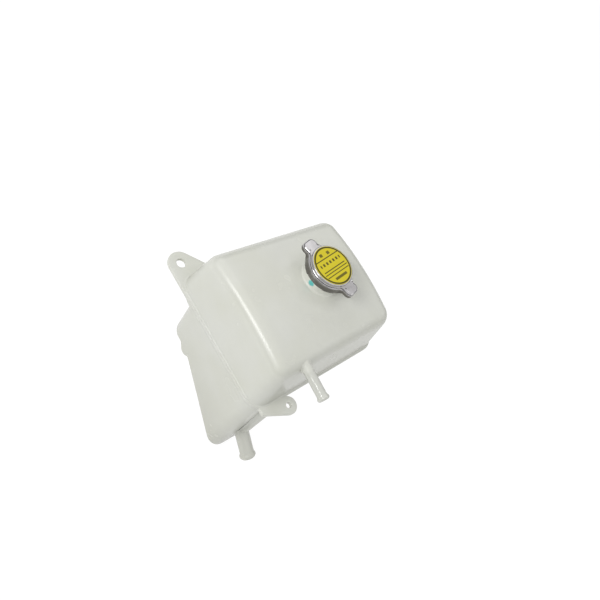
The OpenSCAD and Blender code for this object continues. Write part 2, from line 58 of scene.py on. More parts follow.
# %% Camera
MM = 0.001
EYE = np.array([177.1, -248.3, 423.4]) * MM
AZIMUTH = np.radians(16.329)
ELEVATION = np.radians(49.303)
ROLL = np.radians(46.193)
LENS = 33.0
SENSOR = 36.0


def camera_axes(azimuth, elevation, roll):
    """Right, up and back: level axes first, then right and up are turned by the roll about the view line."""
    ahead = np.array([-np.sin(azimuth) * np.cos(elevation), np.cos(azimuth) * np.cos(elevation), -np.sin(elevation)])
    level = np.array([np.cos(azimuth), np.sin(azimuth), 0.0])
    upright = np.cross(level, ahead)
    right = np.cos(roll) * level + np.sin(roll) * upright
    up = np.cos(roll) * upright - np.sin(roll) * level
    return right, up, -ahead


camera_data = bpy.data.cameras.new("camera")
camera_data.lens = LENS
camera_data.sensor_width = SENSOR
camera_data.clip_start = 0.01
camera = bpy.data.objects.new("camera", camera_data)
bpy.context.scene.collection.objects.link(camera)
turn = Matrix(np.column_stack(camera_axes(AZIMUTH, ELEVATION, ROLL)).tolist()).to_4x4()
camera.matrix_world = Matrix.Translation(EYE.tolist()) @ turn
bpy.context.scene.camera = camera
print("camera at", EYE)

# %% [markdown]
# ## Shader values that add up like numbers
# A finish is a small network of nodes. Written node by node it is long and hard to read, so a wrapper lets
# Python's own operators add the Math nodes: `0.3 + 0.1 * grain` makes two of them. Any other node comes
# from one method, which makes its settings first and then fills its sockets.


# %% Shader wrapper
class Wire:
    """A shader socket that works in Python expressions. Each operator adds one Math node."""

    def __init__(self, tree, socket):
        self.tree = tree
        self.socket = socket

    def node(self, kind, settings=None, inputs=None, output=0):
        """Adds a node: its settings first, then values or wires for its sockets. Returns one output as a wire."""
        made = self.tree.nodes.new(kind)
        for name, value in (settings or {}).items():
            setattr(made, name, value)
        for name, value in (inputs or {}).items():
            if isinstance(value, Wire):
                self.tree.links.new(value.socket, made.inputs[name])
            else:
                made.inputs[name].default_value = value
        return Wire(self.tree, made.outputs[output])

    def math(self, operation, a, b=0.0):
        return self.node("ShaderNodeMath", {"operation": operation}, {0: a, 1: b})

    def __add__(self, other):
        return self.math("ADD", self, other)

    def __radd__(self, other):
        return self.math("ADD", other, self)

    def __sub__(self, other):
        return self.math("SUBTRACT", self, other)

    def __rsub__(self, other):
        return self.math("SUBTRACT", other, self)

    def __mul__(self, other):
        return self.math("MULTIPLY", self, other)

    def __rmul__(self, other):
        return self.math("MULTIPLY", other, self)

    def smooth(self, low, high):
        """0 below low and 1 above high, with a soft step between them. A low above high turns the step round."""
        if low > high:
            return 1.0 - self.smooth(high, low)
        return self.node("ShaderNodeMapRange", {"interpolation_type": "SMOOTHSTEP"},
                         {"Value": self, "From Min": low, "From Max": high})

    def blend(self, low, high):
        """A colour between two colours, by this wire's value from 0 to 1."""
        made = self.tree.nodes.new("ShaderNodeMix")
        made.data_type = "RGBA"
        self.tree.links.new(self.socket, made.inputs[0])
        for place, value in ((6, low), (7, high)):
            if isinstance(value, Wire):
                self.tree.links.new(value.socket, made.inputs[place])
            else:
                made.inputs[place].default_value = value
        return Wire(self.tree, made.outputs[2])


class Finish:
    """A new material: its Principled shader's fixed values are set, and what varies is linked."""

    def __init__(self, name, **fixed):
        self.material = bpy.data.materials.new(name)
        self.material.use_nodes = True
        self.tree = self.material.node_tree
        self.shader = self.tree.nodes["Principled BSDF"]
        for socket, value in fixed.items():
            self.shader.inputs[socket.replace("_", " ")].default_value = value
        self.start = Wire(self.tree, None)
        self.place = self.start.node("ShaderNodeTexCoord", output="Object")

    def noise(self, size, detail=2.0, roughness=0.5, stretch=(1, 1, 1)):
        """Soft random values from 0 to 1 whose blotches are about size metres across."""
        scaled = self.start.node("ShaderNodeMapping", None, {"Vector": self.place, "Scale": stretch})
        return self.start.node("ShaderNodeTexNoise", None, {
            "Vector": scaled, "Scale": 1 / size, "Detail": detail, "Roughness": roughness})

    def axis(self, name, centre=(0, 0, 0), turn=0.0):
        """One coordinate of the place on the piece, measured from a centre and turned about Z."""
        moved = self.start.node("ShaderNodeVectorMath", {"operation": "SUBTRACT"}, {0: self.place, 1: centre})
        turned = self.start.node("ShaderNodeVectorRotate", {"rotation_type": "Z_AXIS"}, {
            "Vector": moved, "Angle": -turn})
        return self.start.node("ShaderNodeSeparateXYZ", None, {0: turned}, output=name)

    def distance(self, centre, flat=False):
        """Distance from a point, or with flat from an upright line through it."""
        moved = self.start.node("ShaderNodeVectorMath", {"operation": "SUBTRACT"}, {0: self.place, 1: centre})
        if flat:
            moved = self.start.node("ShaderNodeVectorMath", {"operation": "MULTIPLY"}, {0: moved, 1: (1, 1, 0)})
        return self.start.node("ShaderNodeVectorMath", {"operation": "LENGTH"}, {0: moved}, output="Value")

    def set(self, **wires):
        for socket, value in wires.items():
            self.tree.links.new(value.socket, self.shader.inputs[socket.replace("_", " ")])

    def thin(self, share, colour):
        """Lets a fixed share of the light through, as the wall of a thin milky moulding does."""
        glow = self.start.node("ShaderNodeBsdfTranslucent", None, {"Color": colour})
        base = Wire(self.tree, self.shader.outputs[0])
        both = self.start.node("ShaderNodeMixShader", None, {0: share, 1: base, 2: glow})
        self.tree.links.new(both.socket, self.tree.nodes["Material Output"].inputs["Surface"])

    def bump(self, height, depth, strength=1.0):
        """Bends the shading as a surface whose height runs from 0 to depth metres would."""
        self.set(Normal=self.start.node("ShaderNodeBump", None, {
            "Height": height, "Distance": depth, "Strength": strength}))


def paint(red, green, blue):
    """A colour from 0 to 255 as a screen shows it, turned into the linear values that a shader uses."""
    share = np.array([red, green, blue]) / 255
    linear = np.where(share <= 0.04045, share / 12.92, ((share + 0.055) / 1.055) ** 2.4)
    return (*linear.tolist(), 1.0)


print("a pale grey in linear values:", np.round(paint(215, 216, 208), 3))

# %% [markdown]
# ## Sizes of the moulding
# These repeat the driving sizes of the tank's solids, in millimetres, because the smooth surfaces follow
# the same rules as the solids do: a deck that falls to both ends, walls that lean out down to a flange,
# a shallow floor, and a deep sump along the near side.

# %% Sizes of the moulding
DECK = np.array([20.3, -4.4, 61.5])
DECK_L, DECK_W, TAPER, CROWN = 120.5, 151.0, 3.5, 6.4
FLARE, FLARE_END, WALL = 5.5, 6.6, 2.5
CORNER_R, CORNER_R_LOW, EDGE_R = 12.0, 15.0, 12.0
FLANGE_W, FLANGE_T, FLANGE_EDGE, FLANGE_ROOT = 2.2, 2.0, 0.8, 1.7
FLOOR = DECK[2] - FLANGE_T
LUG_R, LUG_HOLE_R, LUG_ROOT = 12.4, 4.6, 42.0
EAR_Y, EAR_OUT, EAR_R, EAR_ROOT_OUT, EAR_ROOT_L, EAR_HOLE_R = 28.0, 7.5, 8.6, 4.5, 16.8, 2.6
PAN_D, PAN_DRAFT, PAN_R, PAN_FALL = 7.0, 4.0, 4.5, 2.0
SUMP_X, SUMP_OUT, SUMP_W, SUMP_DRAFT, SUMP_D = 12.5, 15.0, 57.0, 1.0, 64.0
SLOPE_X, SUMP_SLOPE, SUMP_CORNER_R, SUMP_EDGE_R = 31.0, np.radians(32.7), 14.0, 9.0
FOOT_X, FOOT_L, FOOT_H = 28.5, 14.0, 7.5
RIB_OUT, RIB_T = 4.5, 3.0
OUTLET_D, OUTLET_BORE_D, OUTLET_BEAD_D, OUTLET_L = 14.6, 10.6, 17.0, 30.0
OUTLET_SLOPE, OUTLET_UP = np.radians(30.5), 33.0
RETURN_D, RETURN_BORE_D, RETURN_BEAD_D, RETURN_L = 9.4, 5.4, 11.2, 29.0
RETURN_Y, RETURN_DROP, RETURN_SLOPE = 33.0, 12.5, np.radians(4.0)
NECK = np.array([57.0, 89.7])
NECK_R, NECK_BORE_R, THROAT_R, NECK_FOOT = 18.5, 14.6, 11.0, 1.8
RIM_H, SEAT_DEPTH, SEAT_T = 18.9, 10.9, 2.5
CORNER_STEPS, SIDE_STEPS, EDGE_STEPS = 10, 48, 12
print("the flange lies", FLOOR, "mm below the deck")

# %% [markdown]
# ## Helpers that turn rings into a mesh
# Every surface here is a stack of rings with the same number of points, so each is one array of shape
# (rings, points, 3). Faces between neighbouring rings come from index arithmetic on whole arrays. A piece is
# a few of these surfaces in one mesh, each of them closed, so that it has an inside and an outside.


# %% Mesh helpers
def wall_faces(rings, points, start=0):
    """Quads between each ring and the next: corner i of ring k meets i + 1, on k and on k + 1."""
    k, i = np.meshgrid(np.arange(rings - 1), np.arange(points), indexing="ij")
    low = start + k * points + i
    low_next = start + k * points + (i + 1) % points
    return np.stack([low, low_next, low_next + points, low + points], -1).reshape(-1, 4)


def ladder_faces(points, start, first, flip):
    """Quads that close a ring by rungs between its near half and its far half, which have as many points."""
    k = np.arange(points // 2 - 1)
    near = start + (first - k) % points
    near_next = start + (first - k - 1) % points
    far = start + (first + 1 + k) % points
    far_next = start + (first + 2 + k) % points
    quads = np.stack([near_next, near, far, far_next], -1)
    return quads[:, ::-1] if flip else quads


def pole_faces(points, start, pole, flip):
    """Triangles from a ring to one point in its middle."""
    i = np.arange(points)
    tris = np.stack([start + i, start + (i + 1) % points, np.full(points, pole)], -1)
    return tris[:, ::-1] if flip else tris


def loft(rings, first=CORNER_STEPS):
    """A closed skin through rings that are stacked upwards, shut at both ends by ladders."""
    count, points = rings.shape[:2]
    faces = [wall_faces(count, points), ladder_faces(points, 0, first, False),
             ladder_faces(points, (count - 1) * points, first, True)]
    return rings.reshape(-1, 3), faces


def pot(rings):
    """A closed skin through rings, shut at both ends by a point in the middle of the ring."""
    count, points = rings.shape[:2]
    ends = rings[[0, -1]].mean(axis=1)
    total = count * points
    faces = [wall_faces(count, points), pole_faces(points, 0, total, True),
             pole_faces(points, (count - 1) * points, total + 1, False)]
    return np.vstack([rings.reshape(-1, 3), ends]), faces


def belt(rings):
    """A closed skin whose last ring meets its first, such as a washer's."""
    count, points = rings.shape[:2]
    return loft_belt(rings, count, points)


def loft_belt(rings, count, points):
    k, i = np.meshgrid(np.arange(count), np.arange(points), indexing="ij")
    low = k * points + i
    low_next = k * points + (i + 1) % points
    high = ((k + 1) % count) * points + i
    high_next = ((k + 1) % count) * points + (i + 1) % points
    return rings.reshape(-1, 3), [np.stack([low, low_next, high_next, high], -1).reshape(-1, 4)]


def signed_volume(points, faces):
    """Volume inside the faces, from a fan of tetrahedra at the origin. It is negative inside out."""
    total = 0.0
    for block in faces:
        for k in range(1, block.shape[1] - 1):
            a, b, c = points[block[:, 0]], points[block[:, k]], points[block[:, k + 1]]
            total += np.einsum("ij,ij->i", a, np.cross(b, c)).sum() / 6
    return total


def outward(surface):
    """The same skin with its faces turned to point out."""
    points, faces = surface
    if signed_volume(points - points.mean(axis=0), faces) < 0:
        faces = [block[:, ::-1] for block in faces]
    return points, faces


def open_piece(name, points, faces, body, material, crease=35.0):
    """One mesh object from points in millimetres and blocks of faces that already point outwards."""
    mesh = bpy.data.meshes.new(name)
    mesh.from_pydata((points * MM).tolist(), [], [face for block in faces for face in block.tolist()])
    mesh.polygons.foreach_set("use_smooth", np.ones(len(mesh.polygons), dtype=bool))
    mesh.set_sharp_from_angle(angle=np.radians(crease))
    mesh.materials.append(material)
    mesh.update()
    made = bpy.data.objects.new(name, mesh)
    bpy.context.scene.collection.objects.link(made)
    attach(made, body)
    print(name, "has", len(mesh.polygons), "faces")
    return made


def piece(name, surfaces, body, material):
    """One mesh object from closed skins, shaded smooth except at edges sharper than the crease."""
    surfaces = [outward(surface) for surface in surfaces]
    offsets = np.cumsum([0] + [len(points) for points, _ in surfaces])
    faces = [block + offset for (_, blocks), offset in zip(surfaces, offsets) for block in blocks]
    return open_piece(name, np.vstack([points for points, _ in surfaces]), faces, body, material)


# %% [markdown]
# ## Rules that both halves share
# A ring of the tank is a rounded four-sided plan. The near side is a little longer than the far side, so
# each plan is stretched along X by an amount that falls with Y. The deck is a shallow arch along X.


# %% Shared rules
def ring_plan(near, far, y0, y1, radius):
    """A rounded four-sided plan, from its near right corner anticlockwise: a quarter circle at each corner,
    and even steps along the near and far sides."""
    angle = np.linspace(0, np.pi / 2, CORNER_STEPS + 1)
    share = (np.arange(1, SIDE_STEPS) / SIDE_STEPS)[:, None]

    def corner(x, y, start):
        return np.stack([x + radius * np.cos(start + angle), y + radius * np.sin(start + angle)], 1)

    def side(start, end, y):
        along = start + (end - start) * share
        return np.hstack([along, np.full_like(along, y)])

    return np.vstack([
        corner(near[1] - radius, y0 + radius, -np.pi / 2), corner(far[1] - radius, y1 - radius, 0),
        side(far[1] - radius, far[0] + radius, y1), corner(far[0] + radius, y1 - radius, np.pi / 2),
        corner(near[0] + radius, y0 + radius, np.pi), side(near[0] + radius, near[1] - radius, y0)])


def stretch(y):
    """How much longer the tank is at a distance along Y than on its far side."""
    return 1 + TAPER / DECK_L * (1 - y / DECK_W)


def tapered(plan, z):
    """A plan stretched along X and lifted to a height, which may differ from point to point."""
    return np.column_stack([plan[:, 0] * stretch(plan[:, 1]), plan[:, 1], np.broadcast_to(z, len(plan))])


def crown_fall(x):
    """Fall of the deck from its middle line: a parabola along X."""
    return CROWN * ((x - DECK_L / 2) / (DECK_L / 2)) ** 2


def box_plan(lean, inset):
    """Plan of the walls: lean is 0 at the deck and 1 at the flange, and an inset draws it in."""
    left = -FLARE * lean + inset
    right = DECK_L + FLARE_END * lean - inset
    radius = max(CORNER_R + (CORNER_R_LOW - CORNER_R) * lean - inset, 1.0)
    return ring_plan((left, right), (left, right), left, DECK_W + FLARE * lean - inset, radius)


def between(low, high, steps, ends=(True, True)):
    """Even rings between two rings, with or without each of them."""
    share = np.linspace(0, 1, steps + 1)[0 if ends[0] else 1:steps + 1 if ends[1] else steps]
    return [low + (high - low) * s for s in share]


def bent(a, b, c, steps):
    """Rings along a curve that leaves a towards b and arrives at c from b: a quadratic Bezier."""
    share = np.linspace(0, 1, steps + 1)
    return [(1 - s) ** 2 * a + 2 * s * (1 - s) * b + s ** 2 * c for s in share]


def towards(start, end, distance):
    """A ring moved from start towards end by a distance, or by half the way where that is shorter."""
    span = np.linalg.norm(end - start, axis=1, keepdims=True)
    return start + (end - start) * np.minimum(distance / np.maximum(span, 1e-6), 0.5)


print("the deck's ends lie", crown_fall(0.0), "mm below its middle")

# %% [markdown]
# ## The upper half's box
# The box is hollow, with a wall of 2.5 mm. One skin runs from the middle of the ceiling, down the inside of
# the walls, under the weld face, round the flange, up the outside and over the round edge to the middle of
# the deck. The edge is an arc that the wall meets without a kink, because a kink would show in the gloss.

# %% Upper box
SLIT = 2.0
WALL_LEAN = np.arctan(FLARE / (FLOOR - EDGE_R))


def deck_ring(skin, inset, lift):
    """A ring of the deck, which follows its arch."""
    plan = box_plan(0, inset)
    return tapered(plan, lift - skin - crown_fall(plan[:, 0]))


def box_rings(skin, low):
    """The rings of one skin of the box, from a ring on its wall up to a slit in the middle of the deck."""
    radius = EDGE_R - skin
    angles = np.linspace(WALL_LEAN, np.pi / 2, EDGE_STEPS + 1)
    edge = [deck_ring(skin, skin + radius * (np.cos(WALL_LEAN) - np.cos(a)), radius * (np.sin(a) - 1))
            for a in angles]
    last = DECK_L / 2 - SLIT
    top = [deck_ring(skin, inset, 0.0) for inset in np.linspace(edge_end(skin), last, 14)[1:]]
    return between(low, edge[0], 10, (True, False)) + edge + top


def edge_end(skin):
    """Where the round edge ends on the deck, as an inset."""
    return skin + (EDGE_R - skin) * np.cos(WALL_LEAN)


def flange_side(z_edge, z_root, sign):
    """Rings from the flange's outer edge over its rounded lip to the fillet at the wall. Sign is the side's way."""
    lip = [tapered(box_plan(1, -(FLANGE_W - FLANGE_EDGE * (1 - np.cos(a)))),
                   z_edge + sign * (FLANGE_T - FLANGE_EDGE * (1 - np.sin(a))))
           for a in np.linspace(0, np.pi / 2, 4)]
    return lip


def root_fillet(z, sign):
    """Rings of the hollow fillet between the flange and the wall above it."""
    return [tapered(box_plan(1 - FLANGE_ROOT * (1 - np.cos(a)) / FLOOR, -FLANGE_ROOT * (1 - np.sin(a))),
                    z + sign * FLANGE_ROOT * (1 - np.cos(a))) for a in np.linspace(0, np.pi / 2, 5)]


def upper_box():
    """The hollow upper box and its half of the flange, as one closed skin."""
    weld = tapered(box_plan(1, WALL), -FLOOR)
    inside = box_rings(WALL, weld)[::-1]
    lip_foot = tapered(box_plan(1, -FLANGE_W), -FLOOR)
    lip = flange_side(-FLOOR, None, 1)
    fillet = root_fillet(-FLOOR + FLANGE_T, 1)
    outside = box_rings(0.0, fillet[-1])[1:]
    return loft(np.array(inside + [lip_foot] + lip + fillet + outside) + DECK)


upper_box_skin = upper_box()
print("upper box:", len(upper_box_skin[0]), "points")

# %% [markdown]
# ## The filler neck
# The neck is turned about its own axis, so a profile carried round that axis makes it. Its foot is different:
# there a fillet spreads on to the arched deck, so each ring of the foot takes its height from the deck under
# it. Two cams stand off the neck under the cap's skirt, for the cap's claws to hook under.

# %% Filler neck
NECK_STEPS = 144
NECK_EDGE = 0.7
CAM_R, CAM_SPAN, CAM_RISE, CAM_T, CAM_DROP = 21.0, np.radians(118), 0.9, 3.0, 3.8
CLAW_GAP, CAP_T, CLAW_SPAN, STOP_SPAN = 0.3, 0.8, np.radians(46), np.radians(5)
GRIP_TURN = np.radians(15)
SEAT_Z = RIM_H - SEAT_DEPTH
CLAW_TOP = RIM_H - CAM_DROP - CAM_T - CLAW_GAP
CLAW_Z = CLAW_TOP - CAP_T
NECK_AXIS = np.array([*(NECK + DECK[:2]), DECK[2]])


def turned(profile, centre=NECK_AXIS, steps=NECK_STEPS):
    """Carries a profile of (radius, height) pairs round an upright axis."""
    angle = np.linspace(0, 2 * np.pi, steps, endpoint=False)
    profile = np.asarray(profile, dtype=float)
    x = profile[:, :1] * np.cos(angle)
    y = profile[:, :1] * np.sin(angle)
    z = np.repeat(profile[:, 1:2], steps, axis=1)
    return np.stack([x, y, z], -1) + centre


def quarter(centre, radius, start, end, steps=6):
    """Points of a profile along an arc, from one angle in degrees to another."""
    angle = np.radians(np.linspace(start, end, steps + 1))
    return [(centre[0] + radius * np.cos(a), centre[1] + radius * np.sin(a)) for a in angle]


def neck_skin():
    """The neck with its bore and valve seat: foot, wall, rim, bore, seat and throat, shut below the seat."""
    foot = turned([(NECK_R + NECK_FOOT * (1 - np.sin(a)), NECK_FOOT * (1 - np.cos(a)))
                   for a in np.linspace(0, np.pi / 2, 9)])
    across = foot[..., 0] - DECK[0]
    foot[..., 2] -= crown_fall(across / stretch(foot[..., 1] - DECK[1])) + 0.02
    hidden = foot[:1] - np.array([0, 0, WALL - 0.5])
    above = turned(
        quarter((NECK_R - NECK_EDGE, RIM_H - NECK_EDGE), NECK_EDGE, 0, 90)
        + quarter((NECK_BORE_R + NECK_EDGE, RIM_H - NECK_EDGE), NECK_EDGE, 90, 180)
        + [(NECK_BORE_R, SEAT_Z), (THROAT_R, SEAT_Z), (THROAT_R, SEAT_Z - SEAT_T), (THROAT_R - 1, SEAT_Z - SEAT_T)])
    return pot(np.concatenate([hidden, foot, above]))


def sector(inner, outer, low, high, start, span, steps=24):
    """A curved bar between two radii. Low and high are heights, or pairs of heights for its two ends."""
    angle = np.linspace(start, start + span, steps + 1)
    low = np.linspace(*np.broadcast_to(low, 2), steps + 1)
    high = np.linspace(*np.broadcast_to(high, 2), steps + 1)
    ring = [(inner, low), (outer, low), (outer, high), (inner, high)]
    rings = np.stack([np.stack([r * np.cos(angle), r * np.sin(angle), z], -1) for r, z in ring], 1)
    return pot(rings + NECK_AXIS)


def cams():
    """Two cams with ramped undersides, each with a stop just past the shut claw."""
    made = []
    for half in (0, np.pi):
        start = GRIP_TURN - np.pi / 2 - CAM_SPAN / 2 + half
        low = CLAW_TOP + CLAW_GAP
        made.append(sector(NECK_R - 0.5, CAM_R, (low, low + CAM_RISE), low + CAM_T, start, CAM_SPAN))
        stop = GRIP_TURN - np.pi / 2 - CLAW_SPAN / 2 - STOP_SPAN - np.radians(1) + half
        made.append(sector(NECK_R - 0.5, CAM_R, CLAW_Z, low + 1, stop, STOP_SPAN, 3))
    return made


print("the neck stands", RIM_H, "mm above the deck")

# %% [markdown]
# ## Hose spigots
# A spigot is a tube with a bead near its mouth that keeps the hose on. It grows out of its wall in a small
# fillet. The tube leaves the wall at a slant, so each point of the root is found by sliding along the tube's
# axis until it meets the wall, whose place along X is a function of Y and Z.

# %% Hose spigots
BEAD_CREST, BEAD_CHAMFER, SPIGOT_STEPS = 0.4, 0.3, 96


def spigot(root, slope, diameter, bore, bead, length, fillet, wall_x, lip=0.5):
    """A tube along +X that falls by the slope, with its bead, rounded mouth, bore and a fillet on the wall."""
    ahead = np.array([np.cos(slope), 0.0, -np.sin(slope)])
    upward = np.array([np.sin(slope), 0.0, np.cos(slope)])
    sideways = np.array([0.0, 1.0, 0.0])
    angle = np.linspace(0, 2 * np.pi, SPIGOT_STEPS, endpoint=False)
    spoke = np.cos(angle)[:, None] * sideways + np.sin(angle)[:, None] * upward

    def ring(radius, along):
        return root + radius * spoke + np.reshape(along, (-1, 1)) * ahead

    def on_wall(radius):
        """Distance along the axis at which each line at this radius meets the wall, by a few Newton steps."""
        along = np.zeros(SPIGOT_STEPS)
        for _ in range(12):
            place = ring(radius, along)
            along += (wall_x(place[:, 1], place[:, 2]) - place[:, 0]) / ahead[0]
        return along

    rings = [ring(0.5 * diameter + fillet, on_wall(0.5 * diameter + fillet) - 2.0)]
    for a in np.linspace(0, np.pi / 2, 7):
        radius = diameter / 2 + fillet * (1 - np.sin(a))
        rings.append(ring(radius, on_wall(radius) + fillet * (1 - np.cos(a)) - 0.05 * np.cos(a)))
    slope_l = bead - diameter
    crest = length - slope_l - BEAD_CREST * slope_l
    soft = 0.35 * slope_l
    half = (bead - diameter) / 2
    profile = [(diameter / 2, crest - slope_l - soft), (diameter / 2 + 0.1 * half, crest - slope_l),
               (diameter / 2 + 0.5 * half, crest - 0.5 * slope_l), (diameter / 2 + 0.93 * half, crest - 0.08 * slope_l),
               (bead / 2, crest + 0.15 * slope_l), (bead / 2, length - slope_l - 0.1),
               (bead / 2 - 0.08 * half, length - 0.8 * slope_l), (bead / 2 - 0.55 * half, length - 0.4 * slope_l),
               (diameter / 2 - BEAD_CHAMFER + 0.05, length - 0.15)]
    profile += [(diameter / 2 - BEAD_CHAMFER - lip, length), (bore / 2 + lip, length), (bore / 2, length - lip)]
    profile += [(bore / 2, s) for s in np.linspace(length - lip - 1, -2, 8)]
    rings += [ring(radius, np.full(SPIGOT_STEPS, along)) for radius, along in profile]
    return pot(np.array(rings) + DECK)


def upper_end_wall(y, z):
    """Place along X of the upper box's spigot wall: it leans down to the flange, and rounds in to the deck."""
    lean = np.clip(-z / FLOOR, 0, 1)
    top = -CROWN
    rise = np.clip(z - (top - EDGE_R), 0, EDGE_R)
    round_in = EDGE_R - np.sqrt(EDGE_R ** 2 - rise ** 2)
    return DECK_L * stretch(y) + FLARE_END * lean - round_in


def return_spigot():
    """The small glossy spigot on the upper half's spigot wall, near the deck."""
    root = np.array([DECK_L * stretch(RETURN_Y) + FLARE_END * RETURN_DROP / FLOOR, RETURN_Y, -RETURN_DROP])
    return spigot(root, RETURN_SLOPE, RETURN_D, RETURN_BORE_D, RETURN_BEAD_D, RETURN_L, 1.6, upper_end_wall)


print("return spigot:", len(return_spigot()[0]), "points")

# %% [markdown]
# ## The lower half's pan and sump
# The lower half hangs from the flange as a shallow pan, which opens into a deep sump along the near side.
# The pan's near wall runs straight down into the sump's. Elsewhere the floor of the pan turns down into the
# sump over a soft edge, made by bending the rings there. The sump's floor is level at first, has a foot
# that stands off it, and then slopes down to the outlet.

# %% Pan and sump
LEAST_R, END_SHARE, FOOT_FLAT, FOOT_TOE = 1.0, 0.2, 0.1, 0.62
SUMP_FAR = -FLARE + SUMP_W
SLOPE_SOFT = 4.0


def sump_floor(x):
    """Height of the sump's floor: level, then a slope that starts softly, with a rounded foot standing off it."""
    past = x - SUMP_X - SLOPE_X
    ramp = (past + np.sqrt(past ** 2 + SLOPE_SOFT ** 2)) / 2
    away = np.clip((np.abs(x - SUMP_X - FOOT_X) / FOOT_L - FOOT_FLAT) / (FOOT_TOE - FOOT_FLAT), 0, 1)
    return -FLOOR - SUMP_D - ramp * np.tan(SUMP_SLOPE) - FOOT_H * (1 - away ** 2 * (3 - 2 * away))


def end_wall_x(y):
    """Place along X of the spigot wall at the flange."""
    return (DECK_L + FLARE_END) * stretch(y)


def pan_ring(skin, inset, z):
    """A ring of the pan: its near side and near right corner aren't drawn in."""
    left = -FLARE + skin + inset
    right = DECK_L + FLARE_END - skin
    plan = ring_plan((left, right), (left, right - inset), -FLARE + skin, DECK_W + FLARE - skin - inset,
                     max(CORNER_R_LOW - inset, SUMP_CORNER_R) - skin)
    return tapered(plan, z)


def mouth_ring(skin, z):
    """The sump's mouth in the pan's floor."""
    plan = ring_plan((SUMP_X + skin, end_wall_x(-FLARE) - skin), (SUMP_X + skin, end_wall_x(SUMP_FAR) - skin),
                     -FLARE + skin, SUMP_FAR - skin, SUMP_CORNER_R - skin)
    return np.column_stack([plan, np.full(len(plan), z)])


def sump_ring(skin, inset, lift):
    """A ring near the sump's floor. Past its corners its ends are drawn in less than its sides are."""
    whole = SUMP_CORNER_R - LEAST_R
    draw = min(inset, whole) + max(inset - whole, 0) * END_SHARE
    ends = (SUMP_X + SUMP_DRAFT + draw, DECK_L + SUMP_OUT - draw)
    plan = ring_plan(ends, ends, -FLARE + SUMP_DRAFT + inset, SUMP_FAR - SUMP_DRAFT - inset,
                     max(SUMP_CORNER_R - inset, LEAST_R))
    return np.column_stack([plan, sump_floor(plan[:, 0]) + skin / np.cos(SUMP_SLOPE) + lift])


def lower_rings(skin, start):
    """The rings of one skin of the lower half, from a ring just under the flange down to the sump's floor."""
    radius = PAN_R - skin
    low = -FLOOR - PAN_D + skin
    turn_in = [pan_ring(skin, radius * (1 - np.cos(a)) + PAN_DRAFT, low + radius * (1 - np.sin(a)))
               for a in np.linspace(0.1, np.pi / 2, 9)]
    mouth = mouth_ring(skin, low - PAN_FALL)
    edge = SUMP_EDGE_R - skin
    bottom = [sump_ring(skin, skin + edge * (1 - np.cos(a)), edge * (1 - np.sin(a)))
              for a in np.linspace(0, np.pi / 2, EDGE_STEPS + 1)]
    before = towards(mouth, turn_in[-1], 3.0)
    after = towards(mouth, bottom[0], 3.0)
    last = SUMP_W / 2 - SUMP_DRAFT - SLIT
    floor = [sump_ring(skin, inset, 0.0) for inset in np.linspace(SUMP_EDGE_R, last, 10)[1:]]
    return (between(start, turn_in[0], 3, (True, False)) + turn_in + between(turn_in[-1], before, 8, (False, False))
            + bent(before, mouth, after, 8) + between(after, bottom[0], 10, (False, False)) + bottom + floor)


def pan_and_sump():
    """The hollow pan and sump with their half of the flange, as one closed skin."""
    inside = lower_rings(WALL, pan_ring(WALL, 0.0, -FLOOR))
    lip = flange_side(-FLOOR, None, -1)
    outside = lower_rings(0.0, pan_ring(0.0, 0.0, -FLOOR - FLANGE_T))
    lip_foot = tapered(box_plan(1, -FLANGE_W), -FLOOR)
    rings = outside[::-1] + lip[::-1] + [lip_foot] + inside
    return loft(np.array(rings) + DECK)


pan_skin = pan_and_sump()
print("pan and sump:", len(pan_skin[0]), "points")

# %% [markdown]
# ## Lugs and rib
# Two flat lugs grow out of the flange, each with a fixing hole, and a rib runs from the lower lug down to the
# outlet. Each is a plate with rounded edges: an outline, its copies drawn in round the edge, and the hole's
# own ring, which has as many points as the outline.

# %% Lugs and rib
LUG_T = 2 * FLANGE_T
LUG_EDGE = 0.8


def dense(corners, step=1.0):
    """A closed outline through corner points, with points about a step apart along each straight part."""
    corners = np.asarray(corners, dtype=float)
    ends = np.roll(corners, -1, axis=0)
    parts = []
    for start, end in zip(corners, ends):
        count = max(int(np.ceil(np.linalg.norm(end - start) / step)), 1)
        parts.append(start + (end - start) * (np.arange(count) / count)[:, None])
    return np.vstack(parts)


def hull_outline(centre, radius, corners):
    """Outline of a circle joined by straight sides to corner points, which are given anticlockwise."""
    def tangent(point, side):
        reach = np.asarray(point, dtype=float) - centre
        away = np.arctan2(reach[1], reach[0]) + side * np.arccos(radius / np.linalg.norm(reach))
        return away
    start = tangent(corners[-1], 1)
    end = tangent(corners[0], -1)
    end += 2 * np.pi * (end < start)
    arc = np.linspace(start, end, 49)
    round_end = centre + radius * np.column_stack([np.cos(arc), np.sin(arc)])
    return dense(np.vstack([round_end, corners]))


def drawn_in(outline, inset):
    """The outline moved inwards, each point along the mean of its two sides' normals."""
    ahead = np.roll(outline, -1, axis=0) - outline
    ahead /= np.linalg.norm(ahead, axis=1, keepdims=True)
    mean = ahead + np.roll(ahead, 1, axis=0)
    mean /= np.linalg.norm(mean, axis=1, keepdims=True)
    return outline + inset * np.column_stack([-mean[:, 1], mean[:, 0]])


